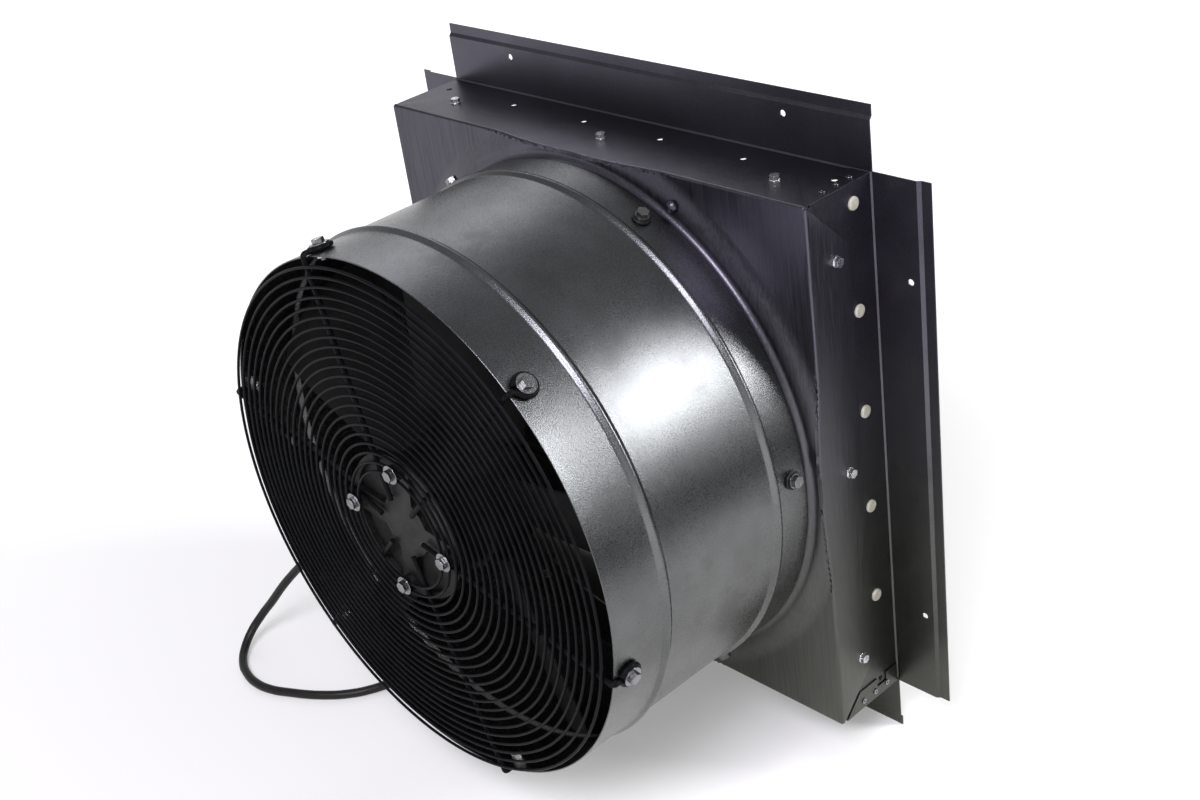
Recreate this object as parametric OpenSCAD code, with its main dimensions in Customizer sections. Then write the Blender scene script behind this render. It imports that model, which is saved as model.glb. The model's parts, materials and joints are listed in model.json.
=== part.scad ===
// Whole house fan: a round duct tube with a guarded axial fan, on a square
// sheet metal box whose wall side carries a frame of gravity louvres.
// Origin at the middle of the wall flange's front face. X to the right,
// +Y towards the louvres and the outdoors, Z up. Lengths in mm.

/* [Sheet metal] */
// Thickness of the galvanised sheet of the tube and the box
sheet_t = 1.2; // [0.8:0.1:1.6]
// Gap between lapped sheets
lap_gap = 0.1; // [0.05:0.05:0.2]

/* [Duct tube] */
// Outside diameter of the duct tube
tube_d = 508; // [480:1:540]
// Length of the tube
tube_l = 236; // [228:1:260]
// Height of the rolled beads
bead_h = 3.5; // [2:0.5:5]
// Width of a rolled bead
bead_w = 12; // [8:1:16]
// Distance of the front bead from the open rim
front_bead_at = 62; // [56:1:70]
// Distance of the rear bead from the end at the box
rear_bead_at = 35; // [32:1:38]
// How far the tube steps out behind the rear bead
band_step = 2.6; // [2:0.1:3]

/* [Fan box] */
// Distance of the box's side walls from the tube
side_margin = 13; // [10:1:20]
// Distance of the box's top and bottom walls from the tube
top_margin = 9.4; // [8:0.2:20]
// Depth of the box in front of the wall flange
box_d = 85; // [80:1:100]
// Distance from the box's face to the end of the tube
collar_stand = 14; // [10:1:18]
// Length of the neck that stands in front of the box's face
neck_l = 41; // [38:1:44]
// Height of the shallow flare round the neck
flare_h = 6; // [4:0.5:8]
// Width of the flare, from the tube outwards
flare_w = 33; // [24:1:40]
// Depth of the folded skirts
skirt_d = 51; // [48:1:54]

/* [Shutter frame] */
// Width of the wall flange
flange_w = 57; // [50:1:70]
// Width of the set back lip at the flange's edge
lip_w = 9.5; // [7:0.5:12]
// How far the lip is set back
lip_step = 2.5; // [1.5:0.1:4]
// Diameter of the flange's screw holes
flange_hole_d = 6; // [4:0.5:8]
// Distance of the flange's holes from the box wall
flange_hole_out = 35; // [25:1:42]
// Distance of the flange's holes from the box corner
flange_hole_in = 92; // [70:1:120]
// Width of the corner tabs
tab_w = 20.5; // [18:0.5:24]

/* [Louvres] */
// Distance of the louvre pivots in front of the wall flange
pivot_in = 25.5; // [24:0.5:28]
// Distance of the first pivot from the top of the box
pivot_down = 18.4; // [17:0.2:22]
// Thickness of a louvre's sheet
louvre_t = 0.8; // [0.6:0.1:1]
// How far a louvre hangs past the next pivot
louvre_lap = 6; // [4:0.5:8]
// Gap between a louvre's end and the frame
louvre_end_gap = 3.2; // [3:0.2:5]
// Diameter of the pivot rods
rod_d = 4; // [3:0.1:4.4]
// Running clearance of the pivots, in radius
pivot_clear = 0.05; // [0.02:0.01:0.08]
// Diameter of a nylon bushing's head
bushing_d = 12; // [10:0.5:13]
// Length of the louvre lugs
lug_l = 20; // [18:0.5:21]
// Distance of the tie bar from the middle
tie_x = 60; // [30:5:150]

/* [Guard] */
// Wire of the guard's ribs
rib_wire_d = 5; // [4:0.5:6]
// Wire of the guard's rings
ring_wire_d = 2.8; // [2:0.2:3.2]
// Spacing of the rings
ring_pitch = 9; // [8.6:0.1:9.4]
// Number of rings
ring_count = 22; // [21:1:23]
// Distance of the outermost ring from the tube's outside
ring_edge = 7.3; // [6:0.1:9]
// How far the guard bulges at the middle
guard_dome = 7; // [5:0.5:9]
// First rib, in degrees from the top
rib_angle = 43.4; // [35:0.1:50]
// Distance of the guard's bolts from the rim
eye_in = 16; // [15:0.5:18]

/* [Motor and impeller] */
// Diameter of the outer rotor
rotor_d = 120; // [110:1:130]
// Length of the outer rotor
rotor_l = 78; // [70:1:82]
// Diameter of the motor shaft
shaft_d = 12; // [10:0.5:14]
// Outside diameter of the bearings
bearing_d = 32; // [28:1:34]
// Air gap between stator and rotor
air_gap = 0.6; // [0.4:0.1:1]
// Gap between the blade tips and the tube
tip_gap = 8.8; // [8:0.2:12]
// Pitch of the blades, in degrees
blade_pitch = 28; // [24:1:30]
// Width of a blade
blade_w = 140; // [120:1:145]
// Thickness of a blade
blade_t = 2; // [1.5:0.1:2.5]

/* [Terminal box] */
// Length of the terminal box along the tube
term_l = 80; // [76:1:90]
// Height of the terminal box
term_h = 70; // [60:1:76]
// How far the box stands off the tube
term_out = 28; // [26:1:30]

/* [Cord] */
// Diameter of the power cord
cord_d = 9.5; // [9:0.1:10]
// Diameter of the motor lead
lead_d = 7; // [6:0.5:8]
// Turns of the stored coil
coil_turns = 4;
// Outer turn's radius in the coil
coil_r = 60; // [58:1:64]

/* [Hidden] */
$fn = 96;

// Facets of the large rounds, of the guard's rings and of their wire
fine_round = 360;
large_round = 180;
ring_round = 120;
rib_round = 48;
wire_round = 24;

// Overrun of every cut, and the small gap between pieces that touch
over = 2;
seat_gap = 0.2;
body_gap = 0.3;
part_gap = 0.05;
rib_count = 6;
collar_bolt_count = 6;
blade_count = 5;
louvre_count = 5;
motor_screw_count = 4;

// Main places, from the wall flange forwards
tube_r = tube_d / 2;
tube_in_r = tube_r - sheet_t;
face_y = -box_d;
tube_end_y = face_y - collar_stand;
rim_y = tube_end_y - tube_l;
box_w = tube_d + 2 * side_margin;
box_h = tube_d + 2 * top_margin;
side_x = box_w / 2;
top_z = box_h / 2;
floor_z = -(top_z + flange_w);

// Colours as the photograph shows them
galvanised = [0.62, 0.63, 0.64];
aluminium = [0.55, 0.56, 0.55];
zinc = [0.85, 0.86, 0.88];
black_wire = [0.03, 0.03, 0.035];
black_rubber = [0.05, 0.05, 0.05];
nylon = [0.93, 0.92, 0.82];

// Turns a piece drawn along Z to lie along Y, at y
module along_y(y) {
    translate([0, y, 0]) rotate([-90, 0, 0]) children();
}

// Turns a piece drawn at the top to an angle from the top towards +X
module at_angle(a) {
    rotate([0, a, 0]) children();
}

// A rod between two places on the Y to Z plane
module rod_between(a, b, d) {
    run = norm(b - a);
    tilt = atan2(b[0] - a[0], b[1] - a[1]);
    translate([0, a[0], a[1]]) rotate([-tilt, 0, 0]) cylinder(d = d, h = run);
}

// Hexagon head with its washer face, standing on z = 0
module hex_head(flats, high, washer_d, washer_t) {
    if (washer_t > 0) cylinder(d = washer_d, h = washer_t);
    translate([0, 0, washer_t]) cylinder(d = flats / cos(30), h = high, $fn = 6);
}

module washer(outer, bore, t) {
    difference() {
        cylinder(d = outer, h = t);
        translate([0, 0, -over]) cylinder(d = bore, h = t + 2 * over);
    }
}

module hex_nut(flats, bore, t) {
    difference() {
        cylinder(d = flats / cos(30), h = t, $fn = 6);
        translate([0, 0, -over]) cylinder(d = bore, h = t + 2 * over);
    }
}

// Outline with round corners, made of true arcs
module round_rect(w, h, r) {
    square([w - 2 * r, h], center = true);
    square([w, h - 2 * r], center = true);
    for (sx = [-1, 1], sy = [-1, 1])
        translate([sx * (w / 2 - r), sy * (h / 2 - r)]) circle(r = r);
}

// Tube swept along a list of points
function unit(v) = v / norm(v);
function tangent(p, i) =
    unit(p[min(i + 1, len(p) - 1)] - p[max(i - 1, 0)]);
function side_normals(p, n, i = 0) =
    i == len(p) ? [] :
    let (t = tangent(p, i), m = unit(n - (n * t) * t))
    concat([m], side_normals(p, m, i + 1));
function path_length(p) =
    len(p) < 2 ? 0 : sum_of([for (i = [1 : len(p) - 1]) norm(p[i] - p[i - 1])]);
function sum_of(v) = v * [for (x = v) 1];

module swept_tube(p, d, sides, first_normal) {
    normals = side_normals(p, first_normal);
    count = len(p);
    corners = [
        for (i = [0 : count - 1])
        let (t = tangent(p, i), n = normals[i], b = cross(t, n))
        for (k = [0 : sides - 1])
        let (a = 360 * k / sides)
        p[i] + d / 2 * (cos(a) * n + sin(a) * b)
    ];
    sleeve = [
        for (i = [0 : count - 2], k = [0 : sides - 1])
        let (a = i * sides + k, b = i * sides + (k + 1) % sides)
        each [[a, b, b + sides], [a, b + sides, a + sides]]
    ];
    ends = [
        for (k = [1 : sides - 2])
        each [[0, k + 1, k], [(count - 1) * sides, (count - 1) * sides + k, (count - 1) * sides + k + 1]]
    ];
    polyhedron(points = corners, faces = [for (f = concat(sleeve, ends)) [f[0], f[2], f[1]]], convexity = 10);
}

// Duct tube

front_bead_y = rim_y + front_bead_at;
rear_bead_y = tube_end_y - rear_bead_at;
bead_steps = 8;

function bump(y, middle) =
    abs(y - middle) < bead_w / 2 ? bead_h * (1 + cos(360 * (y - middle) / bead_w)) / 2 : 0;
function tube_out(y) =
    tube_r + max(bump(y, front_bead_y), bump(y, rear_bead_y), y > rear_bead_y ? band_step : 0);
bead_offsets = [for (k = [0 : bead_steps]) (k / bead_steps - 1 / 2) * bead_w];
tube_ys = concat([rim_y], front_bead_y * [for (o = bead_offsets) 1] + bead_offsets,
                 rear_bead_y * [for (o = bead_offsets) 1] + bead_offsets, [tube_end_y]);
band_r = tube_r + band_step;

module duct_tube() {
    color(galvanised)
    difference() {
        along_y(0) rotate_extrude($fn = large_round)
            polygon(concat([for (y = tube_ys) [tube_out(y), y]],
                           [for (i = [len(tube_ys) - 1 : -1 : 0])
                            [tube_out(tube_ys[i]) - sheet_t, tube_ys[i]]]));
        guard_bolt_places() translate([0, 0, tube_in_r - over])
            cylinder(d = bolt_hole_d, h = sheet_t + 2 * over);
        collar_bolt_places()
            translate([0, 0, tube_r - 2 * sheet_t]) cylinder(d = bolt_hole_d, h = band_step + 4 * sheet_t);
        lead_hole();
    }
}

// Fan box face with its drawn neck and folded skirts

neck_r = band_r - sheet_t - seat_gap;
neck_front_y = face_y - neck_l;
flare_r = tube_r + flare_w;
flare_foot_r = neck_r + flare_h;
flare_y = face_y - flare_h;
fold_steps = 5;
corner_r = norm([side_x, top_z]) + over;
neck_fold = [
    for (k = [0 : fold_steps])
    let (a = 90 * k / fold_steps)
    [flare_foot_r - flare_h * cos(a), flare_y - flare_h * (1 - sin(a))]
];
face_line = concat([[neck_r, neck_front_y]], neck_fold, [[flare_r, face_y], [corner_r, face_y]]);
inner_line = concat([[neck_r - sheet_t, neck_front_y - over]],
                    [for (q = neck_fold)
                     [q[0] - sheet_t * (flare_foot_r - q[0]) / flare_h,
                      q[1] + sheet_t * (1 - (flare_y - q[1]) / flare_h)]],
                    [[flare_r, face_y + sheet_t], [corner_r, face_y + sheet_t]]);
skirt_y = face_y + skirt_d;

module behind_line(line, to_y) {
    along_y(0) rotate_extrude($fn = large_round)
        polygon(concat([[0, line[0][1]]], line, [[corner_r, to_y], [0, to_y]]));
}

module box_block(inset, from_y, to_y) {
    translate([-(side_x - inset), from_y, -(top_z - inset)])
        cube([2 * (side_x - inset), to_y - from_y, 2 * (top_z - inset)]);
}

// Triangle that cuts a skirt's end at 45 degrees, drawn on the right wall's top end
module skirt_notch(wall, half_l) {
    reach = skirt_d + over;
    for (s = [-1, 1])
        translate([wall - sheet_t - lap_gap, 0, 0]) rotate([90, 0, 90])
            linear_extrude(height = sheet_t + lap_gap + over)
            polygon([[face_y + sheet_t, s * (half_l - sheet_t)], [face_y + reach, s * (half_l - reach)],
                     [face_y + reach, s * (half_l + over)], [face_y + sheet_t, s * (half_l + over)]]);
}

module each_wall() {
    for (k = [0 : 3]) rotate([0, -90 * k, 0]) {
        $wall = k % 2 == 0 ? side_x : top_z;
        $half = k % 2 == 0 ? top_z : side_x;
        children();
    }
}

module fan_panel() {
    color(galvanised)
    difference() {
        intersection() {
            box_block(0, neck_front_y - over, skirt_y);
            behind_line(face_line, skirt_y + over);
        }
        intersection() {
            box_block(sheet_t, neck_front_y - 2 * over, skirt_y + over);
            behind_line(inner_line, skirt_y + over);
        }
        each_wall() {
            skirt_notch($wall, $half);
            panel_screw_holes($wall);
        }
        collar_bolt_places() translate([0, 0, neck_r - 2 * sheet_t])
            cylinder(d = bolt_hole_d, h = 3 * sheet_t);
        face_rivet_place() translate([0, 0, -over])
            cylinder(d = rivet_shank_d + 2 * lap_gap, h = flare_h + 2 * over);
    }
}

// Dome rivet on the face, beside the flare
face_rivet_d = 12;
face_rivet_high = 5;
face_rivet_share = [0.46, 0.9];
rivet_shank_d = 4;

module face_rivet_place() {
    translate([side_x * face_rivet_share[0], face_y, top_z * face_rivet_share[1]])
        rotate([90, 0, 0]) children();
}

module face_rivet() {
    color(zinc)
    face_rivet_place() {
        translate([0, 0, flare_h + lap_gap]) intersection() {
            translate([0, 0, face_rivet_high - face_rivet_d / 2]) sphere(d = face_rivet_d);
            cylinder(d = face_rivet_d, h = face_rivet_d);
        }
        translate([0, 0, -2 * sheet_t]) cylinder(d = rivet_shank_d, h = 3 * sheet_t + flare_h);
    }
}

// Collar bolts through the tube and the neck

bolt_d = 6;
bolt_clear = 0.4;
bolt_hole_d = bolt_d + bolt_clear;
collar_bolt_angle = 25.2;
collar_bolt_stand = 30;
collar_bolt_y = face_y - collar_bolt_stand;
collar_washer_d = 17;
collar_washer_t = 2.4;
hex_flats = 10;
hex_high = 4.5;
hex_washer_d = 13;
hex_washer_t = 1.4;
nut_t = 5;
thread_end = 2;

module collar_bolt_places() {
    for (k = [0 : collar_bolt_count - 1])
        at_angle(collar_bolt_angle + 360 * k / collar_bolt_count) translate([0, collar_bolt_y, 0]) children();
}

module collar_bolts() {
    color(zinc)
    collar_bolt_places() translate([0, 0, band_r + body_gap + collar_washer_t]) {
        hex_head(hex_flats, hex_high, hex_washer_d, hex_washer_t);
        mirror([0, 0, 1])
            cylinder(d = bolt_d, h = collar_washer_t + 2 * sheet_t + nut_t + thread_end + body_gap);
    }
}

module collar_washers() {
    color(black_rubber)
    collar_bolt_places() translate([0, 0, band_r + body_gap / 2])
        washer(collar_washer_d, bolt_d + bolt_clear, collar_washer_t);
}

module collar_nuts() {
    color(zinc)
    collar_bolt_places() translate([0, 0, neck_r - sheet_t - seat_gap - nut_t])
        hex_nut(hex_flats, bolt_d + bolt_clear, nut_t);
}

// Guard: ribs bent over the tube's rim to an eye, with rings in front of them

guard_washer_d = 18;
guard_washer_t = 1.2;
guard_hex_high = 4;
rib_start_r = 28;
eye_mean_r = 9.5;
joint_ball = 0.1;
weld_gap = 0.05;
rib_stand = rib_wire_d / 2 + body_gap;
rib_rim_y = rim_y - rib_stand;
rib_back_r = tube_r + rib_stand;
rib_slope = guard_dome / (tube_r - rib_start_r);
eye_y = rim_y + eye_in;

function rib_y(r) = rib_rim_y - (tube_r - r) * rib_slope;

module rib_places() {
    for (k = [0 : rib_count - 1]) at_angle(rib_angle + 360 * k / rib_count) children();
}

module guard_bolt_places() {
    rib_places() translate([0, eye_y, 0]) children();
}

module guard_ribs() {
    color(black_wire)
    rib_places() {
        rod_between([rib_y(rib_start_r), rib_start_r], [rib_rim_y, tube_r], rib_wire_d);
        translate([0, rib_rim_y, tube_r]) sphere(d = rib_wire_d + joint_ball);
        translate([0, rim_y, tube_r]) rotate([0, -90, 0]) rotate([0, 0, -90])
            rotate_extrude(angle = 90) translate([rib_stand, 0]) circle(d = rib_wire_d, $fn = rib_round);
        rod_between([rim_y, rib_back_r], [eye_y - eye_mean_r, rib_back_r], rib_wire_d);
        translate([0, eye_y, rib_back_r])
            rotate_extrude() translate([eye_mean_r, 0]) circle(d = rib_wire_d, $fn = rib_round);
    }
}

module guard_rings() {
    color(black_wire)
    for (j = [0 : ring_count - 1]) {
        r = tube_r - ring_edge - j * ring_pitch;
        along_y(rib_y(r) - (rib_wire_d + ring_wire_d) / 2 - weld_gap)
            rotate_extrude($fn = ring_round) translate([r, 0]) circle(d = ring_wire_d, $fn = wire_round);
    }
}

module guard_washers() {
    color(zinc)
    guard_bolt_places() translate([0, 0, rib_back_r + rib_wire_d / 2 + weld_gap])
        washer(guard_washer_d, bolt_d + bolt_clear, guard_washer_t);
}

module guard_bolts() {
    color(zinc)
    guard_bolt_places() translate([0, 0, rib_back_r + rib_wire_d / 2 + 2 * weld_gap + guard_washer_t]) {
        hex_head(hex_flats, guard_hex_high, 0, 0);
        mirror([0, 0, 1])
            cylinder(d = bolt_d, h = guard_washer_t + rib_wire_d + 2 * sheet_t + nut_t + thread_end);
    }
}

module guard_nuts() {
    color(zinc)
    guard_bolt_places() translate([0, 0, tube_in_r - seat_gap - nut_t])
        hex_nut(hex_flats, bolt_d + bolt_clear, nut_t);
}

// Motor: an external rotor on a cast flange that the guard carries

motor_flange_t = 8;
motor_stand = 5.8;
motor_screw_angle = 7.5;
motor_screw_in_share = 0.5;
motor_screw_edge = 9.8;
motor_boss_d = 16;
motor_washer_t = 1.6;
motor_washer_d = 18;
motor_face_y = rim_y - motor_stand;
motor_back_y = motor_face_y + motor_flange_t;
motor_screw_r = tube_r - ring_edge - (ring_count - 1 - motor_screw_in_share) * ring_pitch;
motor_flange_r = motor_screw_r + motor_screw_edge;
inner_ring_y = rib_y(motor_screw_r) - (rib_wire_d + ring_wire_d) / 2 - weld_gap;
motor_boss_y = inner_ring_y + ring_wire_d / 2 + seat_gap;
motor_washer_y = inner_ring_y - ring_wire_d / 2 - seat_gap;
motor_thread_l = 12;
carrier_r = 22;
carrier_wall = 6;
bearing_w = 10;
bearing_seat_in = 3;
pocket_depth = 5;
pocket_in_r = 30;
pocket_rim = 6;
web_t = 7;
rotor_behind = 7;
end_plate_t = 5;
core_out_r = 46;
core_l = 50;
core_slots = 18;
slot_w = 3;
slot_depth = 7;
winding_l = 10;
winding_share = [0.61, 0.95];
shaft_run = 0.05;
shaft_fit = 0.05;
shaft_front = 3;
rotor_front_y = motor_back_y + rotor_behind;
rotor_back_y = rotor_front_y + rotor_l;
carrier_end_y = rotor_back_y - 2 * end_plate_t;
core_front_y = rotor_front_y + winding_l;
rotor_in_r = core_out_r + air_gap;

module motor_screw_places() {
    for (k = [0 : motor_screw_count - 1])
        at_angle(motor_screw_angle + 360 * k / motor_screw_count) translate([0, 0, motor_screw_r]) children();
}

module motor_flange() {
    color(aluminium)
    difference() {
        union() {
            along_y(motor_face_y) cylinder(r = motor_flange_r, h = motor_flange_t);
            along_y(motor_face_y) cylinder(r = carrier_r, h = carrier_end_y - motor_face_y);
            motor_screw_places() along_y(motor_boss_y)
                cylinder(d = motor_boss_d, h = motor_face_y - motor_boss_y + web_t);
        }
        flange_pockets();
        rib_places() translate([-rib_stand, motor_boss_y - over, 0])
            cube([2 * rib_stand, motor_face_y - motor_boss_y + over, motor_flange_r + over]);
        along_y(motor_face_y + shaft_front)
            cylinder(r = carrier_r - carrier_wall, h = carrier_end_y - motor_face_y + over);
        motor_screw_places() along_y(motor_boss_y - over)
            cylinder(d = bolt_hole_d, h = motor_thread_l + over);
    }
}

// Pockets between the flange's webs, open to the front
module flange_pockets() {
    for (k = [0 : motor_screw_count - 1]) at_angle(motor_screw_angle + 360 * k / motor_screw_count)
        intersection() {
            along_y(motor_face_y - over) difference() {
                cylinder(r = motor_flange_r - pocket_rim, h = over + pocket_depth);
                translate([0, 0, -over]) cylinder(r = pocket_in_r, h = 2 * over + motor_flange_t);
            }
            translate([motor_boss_d / 2 + web_t / 2, motor_face_y - over, motor_boss_d / 2 + web_t / 2])
                cube([motor_flange_r, over + motor_flange_t, motor_flange_r]);
        }
}

module motor_washers() {
    color(zinc)
    motor_screw_places() along_y(motor_washer_y - motor_washer_t)
        washer(motor_washer_d, bolt_d + bolt_clear, motor_washer_t);
}

module motor_screws() {
    color(zinc)
    motor_screw_places() translate([0, motor_washer_y - motor_washer_t - weld_gap, 0]) rotate([90, 0, 0]) {
        hex_head(hex_flats, guard_hex_high, 0, 0);
        mirror([0, 0, 1]) cylinder(d = bolt_d, h = motor_thread_l);
    }
}

module bearing(from_y) {
    color("silver")
    along_y(from_y) difference() {
        cylinder(r = bearing_out_r, h = bearing_w);
        translate([0, 0, -over]) cylinder(d = shaft_d + 2 * shaft_run, h = bearing_w + 2 * over);
    }
}

bearing_out_r = min(bearing_d / 2, carrier_r - carrier_wall) - shaft_run;

module front_bearing() {
    bearing(motor_back_y + bearing_seat_in);
}

module rear_bearing() {
    bearing(carrier_end_y - bearing_w - seat_gap);
}

module motor_shaft() {
    color("silver")
    along_y(motor_face_y + shaft_front + seat_gap)
        cylinder(d = shaft_d, h = rotor_back_y - motor_face_y - shaft_front);
}

module stator_core() {
    color("dimgray")
    difference() {
        along_y(core_front_y) cylinder(r = core_out_r, h = core_l);
        along_y(core_front_y - over) cylinder(r = carrier_r + seat_gap / 2, h = core_l + 2 * over);
        for (k = [0 : core_slots - 1]) at_angle(360 * k / core_slots)
            translate([-slot_w / 2, core_front_y - over, core_out_r - slot_depth])
                cube([slot_w, core_l + 2 * over, slot_depth + over]);
    }
}

module stator_windings() {
    color("chocolate")
    for (y = [core_front_y - seat_gap - winding_l, core_front_y + core_l + seat_gap])
        along_y(y) difference() {
            cylinder(r = core_out_r * winding_share[1], h = winding_l);
            translate([0, 0, -over]) cylinder(r = core_out_r * winding_share[0], h = winding_l + 2 * over);
        }
}

module rotor_shell() {
    color("black")
    difference() {
        along_y(rotor_front_y) cylinder(d = rotor_d, h = rotor_l);
        along_y(rotor_front_y - over) cylinder(r = rotor_in_r, h = rotor_l - end_plate_t + over);
        along_y(rotor_front_y) cylinder(d = shaft_d + 2 * shaft_fit, h = rotor_l + over);
    }
}

// Impeller: a ring on the rotor with five cambered blades

hub_ring_t = 5.8;
hub_ring_l = 52;
hub_ring_back = 6;
root_share = 0.68;
tip_round_share = 0.22;
blade_arc_r = 220;
blade_outline_steps = 10;
blade_joint = 0.1;
blade_first = 15;
hub_in_r = rotor_d / 2 + seat_gap;
hub_out_r = hub_in_r + hub_ring_t;
hub_back_y = rotor_back_y + hub_ring_back;
blade_mid_y = hub_back_y - hub_ring_l / 2;
blade_root_r = hub_out_r + blade_joint;
blade_tip_r = tube_in_r - tip_gap;

module hub_ring() {
    color("black")
    along_y(hub_back_y - hub_ring_l) difference() {
        cylinder(r = hub_out_r, h = hub_ring_l);
        translate([0, 0, -over]) cylinder(r = hub_in_r, h = hub_ring_l + 2 * over);
    }
}

// Half the blade's width, s of the way from root to tip
function half_chord(s) =
    let (edge = max(0, (s - (1 - tip_round_share)) / tip_round_share))
    let (round_off = tip_round_share * (1 - sqrt(max(0, 1 - edge * edge))))
    blade_w / 2 * (root_share + (1 - root_share) * min(s, 1) - round_off);

module blade(n) {
    root = blade_root_r - over;
    steps = [for (k = [0 : blade_outline_steps]) sin(90 * k / blade_outline_steps)];
    backwards = [for (k = [blade_outline_steps : -1 : 0]) steps[k]];
    color("black")
    at_angle(blade_first + 360 * (n - 1) / blade_count)
    intersection() {
        translate([0, blade_mid_y, 0]) rotate([0, 0, blade_pitch]) intersection() {
            translate([0, blade_arc_r, 0]) difference() {
                cylinder(r = blade_arc_r, h = tube_r, $fn = fine_round);
                translate([0, 0, -over])
                    cylinder(r = blade_arc_r - blade_t, h = tube_r + 2 * over, $fn = fine_round);
            }
            rotate([90, 0, 0]) linear_extrude(height = blade_w / 2, center = true)
                polygon(concat([for (s = steps) [half_chord(s), root + s * (blade_tip_r - root)]],
                               [for (s = backwards) [-half_chord(s), root + s * (blade_tip_r - root)]]));
        }
        along_y(blade_mid_y - blade_w) difference() {
            cylinder(r = blade_tip_r, h = 2 * blade_w, $fn = large_round);
            translate([0, 0, -over])
                cylinder(r = blade_root_r, h = 2 * blade_w + 2 * over, $fn = large_round);
        }
    }
}

// Shutter frame: four rails, each a web inside the skirts and a wide wall flange

rail_front_gap = 0.2;
lip_slant = 3;
tab_notch_from = 18.5;
tab_notch_to = 32;
tab_notch_h = 11;
tab_end_margin = 7;
tab_top_in = 2;
corner_rivet_count = 3;
corner_rivet_first = 18;
corner_rivet_pitch = 17.5;
corner_rivet_in = 8;
corner_rivet_d = 3.2;
corner_rivet_head_d = 5.6;
corner_rivet_head_t = 1;
corner_rivet_core_d = 1.8;
rivet_clear = 0.2;
panel_screw_d = 4.2;
panel_screw_l = 12;
panel_screw_in = 17.5;
panel_screw_y = skirt_y - panel_screw_in;
panel_screw_from_end = 60;
panel_screw_flats = 8;
punch_d = 6;
punch_count = 6;
web_out = sheet_t + lap_gap;
web_in = web_out + sheet_t;
rail_front_y = face_y + sheet_t + rail_front_gap;
flange_flat = flange_w - lip_w - lip_slant;
tab_back = box_d - tab_end_margin;

function punch_places(half) =
    [for (k = [0 : punch_count - 1]) half - pivot_down - k * (2 * half - 2 * pivot_down) / (punch_count - 1)];

module panel_screw_holes(wall) {
    panel_screw_places(wall) translate([0, 0, -panel_screw_l])
        cylinder(d = panel_screw_d + rivet_clear, h = panel_screw_l + over);
}

module panel_screw_places(wall) {
    half = wall == side_x ? top_z : side_x;
    for (s = [-1, 0, 1])
        translate([wall, panel_screw_y, s * (half - panel_screw_from_end)]) rotate([0, 90, 0]) children();
}

module corner_rivet_places(wall, half) {
    for (k = [0 : corner_rivet_count - 1])
        translate([wall - web_out - corner_rivet_in, -corner_rivet_first - k * corner_rivet_pitch, half])
            children();
}

// A profile in the rail's cross-section, drawn from its web's outer face, with its length down from the tab
module rail_stretch(wall, half, long) {
    translate([wall - web_out, 0, half]) mirror([0, 0, 1]) linear_extrude(height = long) children();
}

module shutter_rail(wall, half) {
    web_end = half - web_in - lap_gap;
    lip_x = web_out + flange_flat + lip_slant;
    color(galvanised)
    difference() {
        union() {
            rail_stretch(wall, half, 2 * half)
                polygon([[web_out + lap_gap, 0], [web_out + flange_flat, 0], [lip_x, lip_step],
                         [web_out + flange_w, lip_step], [web_out + flange_w, lip_step + sheet_t],
                         [lip_x - sheet_t / 2, lip_step + sheet_t],
                         [web_out + flange_flat - sheet_t / 2, sheet_t], [web_out + lap_gap, sheet_t]]);
            rail_stretch(wall, half, half + web_end)
                polygon([[-sheet_t, rail_front_y], [0, rail_front_y], [0, -web_out], [web_out, 0],
                         [flange_w / 2, 0], [flange_w / 2, sheet_t], [0, sheet_t], [-sheet_t, 0]]);
            rail_stretch(wall, half, sheet_t)
                polygon([[0, -tab_top_in], [-tab_w, -tab_top_in], [-tab_w, -tab_notch_from],
                         [-tab_notch_h, -tab_notch_from], [-tab_notch_h, -tab_notch_to],
                         [-tab_w, -tab_notch_to], [-tab_w, tab_w - tab_back], [0, -tab_back]]);
        }
        translate([wall - 2 * web_in, -tab_back, half - web_in]) mirror([0, 1, 0])
            cube([2 * web_in, box_d - tab_back, web_in + over]);
        for (s = punch_places(half))
            translate([wall - 2 * web_in, -pivot_in, s]) rotate([0, 90, 0])
                cylinder(d = punch_d, h = 2 * web_in + over);
        for (s = [-1, 1])
            translate([wall + flange_hole_out, -over, s * (half - flange_hole_in)]) rotate([-90, 0, 0])
                cylinder(d = flange_hole_d, h = sheet_t + 2 * over);
        panel_screw_holes(wall);
        corner_rivet_places(wall, half) translate([0, 0, -2 * web_in])
            cylinder(d = corner_rivet_d + rivet_clear, h = 2 * web_in + over);
        rotate([0, 90, 0]) corner_rivet_places(half, wall) translate([0, 0, -2 * web_in])
            cylinder(d = corner_rivet_d + rivet_clear, h = 2 * web_in + over);
    }
}

module right_rail() {
    shutter_rail(side_x, top_z);
}

module top_rail() {
    rotate([0, -90, 0]) shutter_rail(top_z, side_x);
}

module left_rail() {
    rotate([0, 180, 0]) shutter_rail(side_x, top_z);
}

module bottom_rail() {
    rotate([0, 90, 0]) shutter_rail(top_z, side_x);
}

// Blind rivets, with their hollow cores
module corner_rivets() {
    color(zinc)
    each_wall() corner_rivet_places($wall, $half) difference() {
        union() {
            translate([0, 0, lap_gap / 2]) cylinder(d = corner_rivet_head_d, h = corner_rivet_head_t);
            translate([0, 0, -web_in - corner_rivet_head_t])
                cylinder(d = corner_rivet_d, h = web_in + 2 * corner_rivet_head_t);
        }
        translate([0, 0, -web_in]) cylinder(d = corner_rivet_core_d, h = web_in + 2 * corner_rivet_head_t);
    }
}

module panel_screws() {
    color(zinc)
    each_wall() panel_screw_places($wall) translate([0, 0, lap_gap / 2]) {
        hex_head(panel_screw_flats, guard_hex_high, hex_flats, lap_gap + sheet_t / 2);
        mirror([0, 0, 1]) cylinder(d = panel_screw_d, h = panel_screw_l);
    }
}

// Nylon bushings in the side rails, one at each end of each pivot rod

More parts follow.
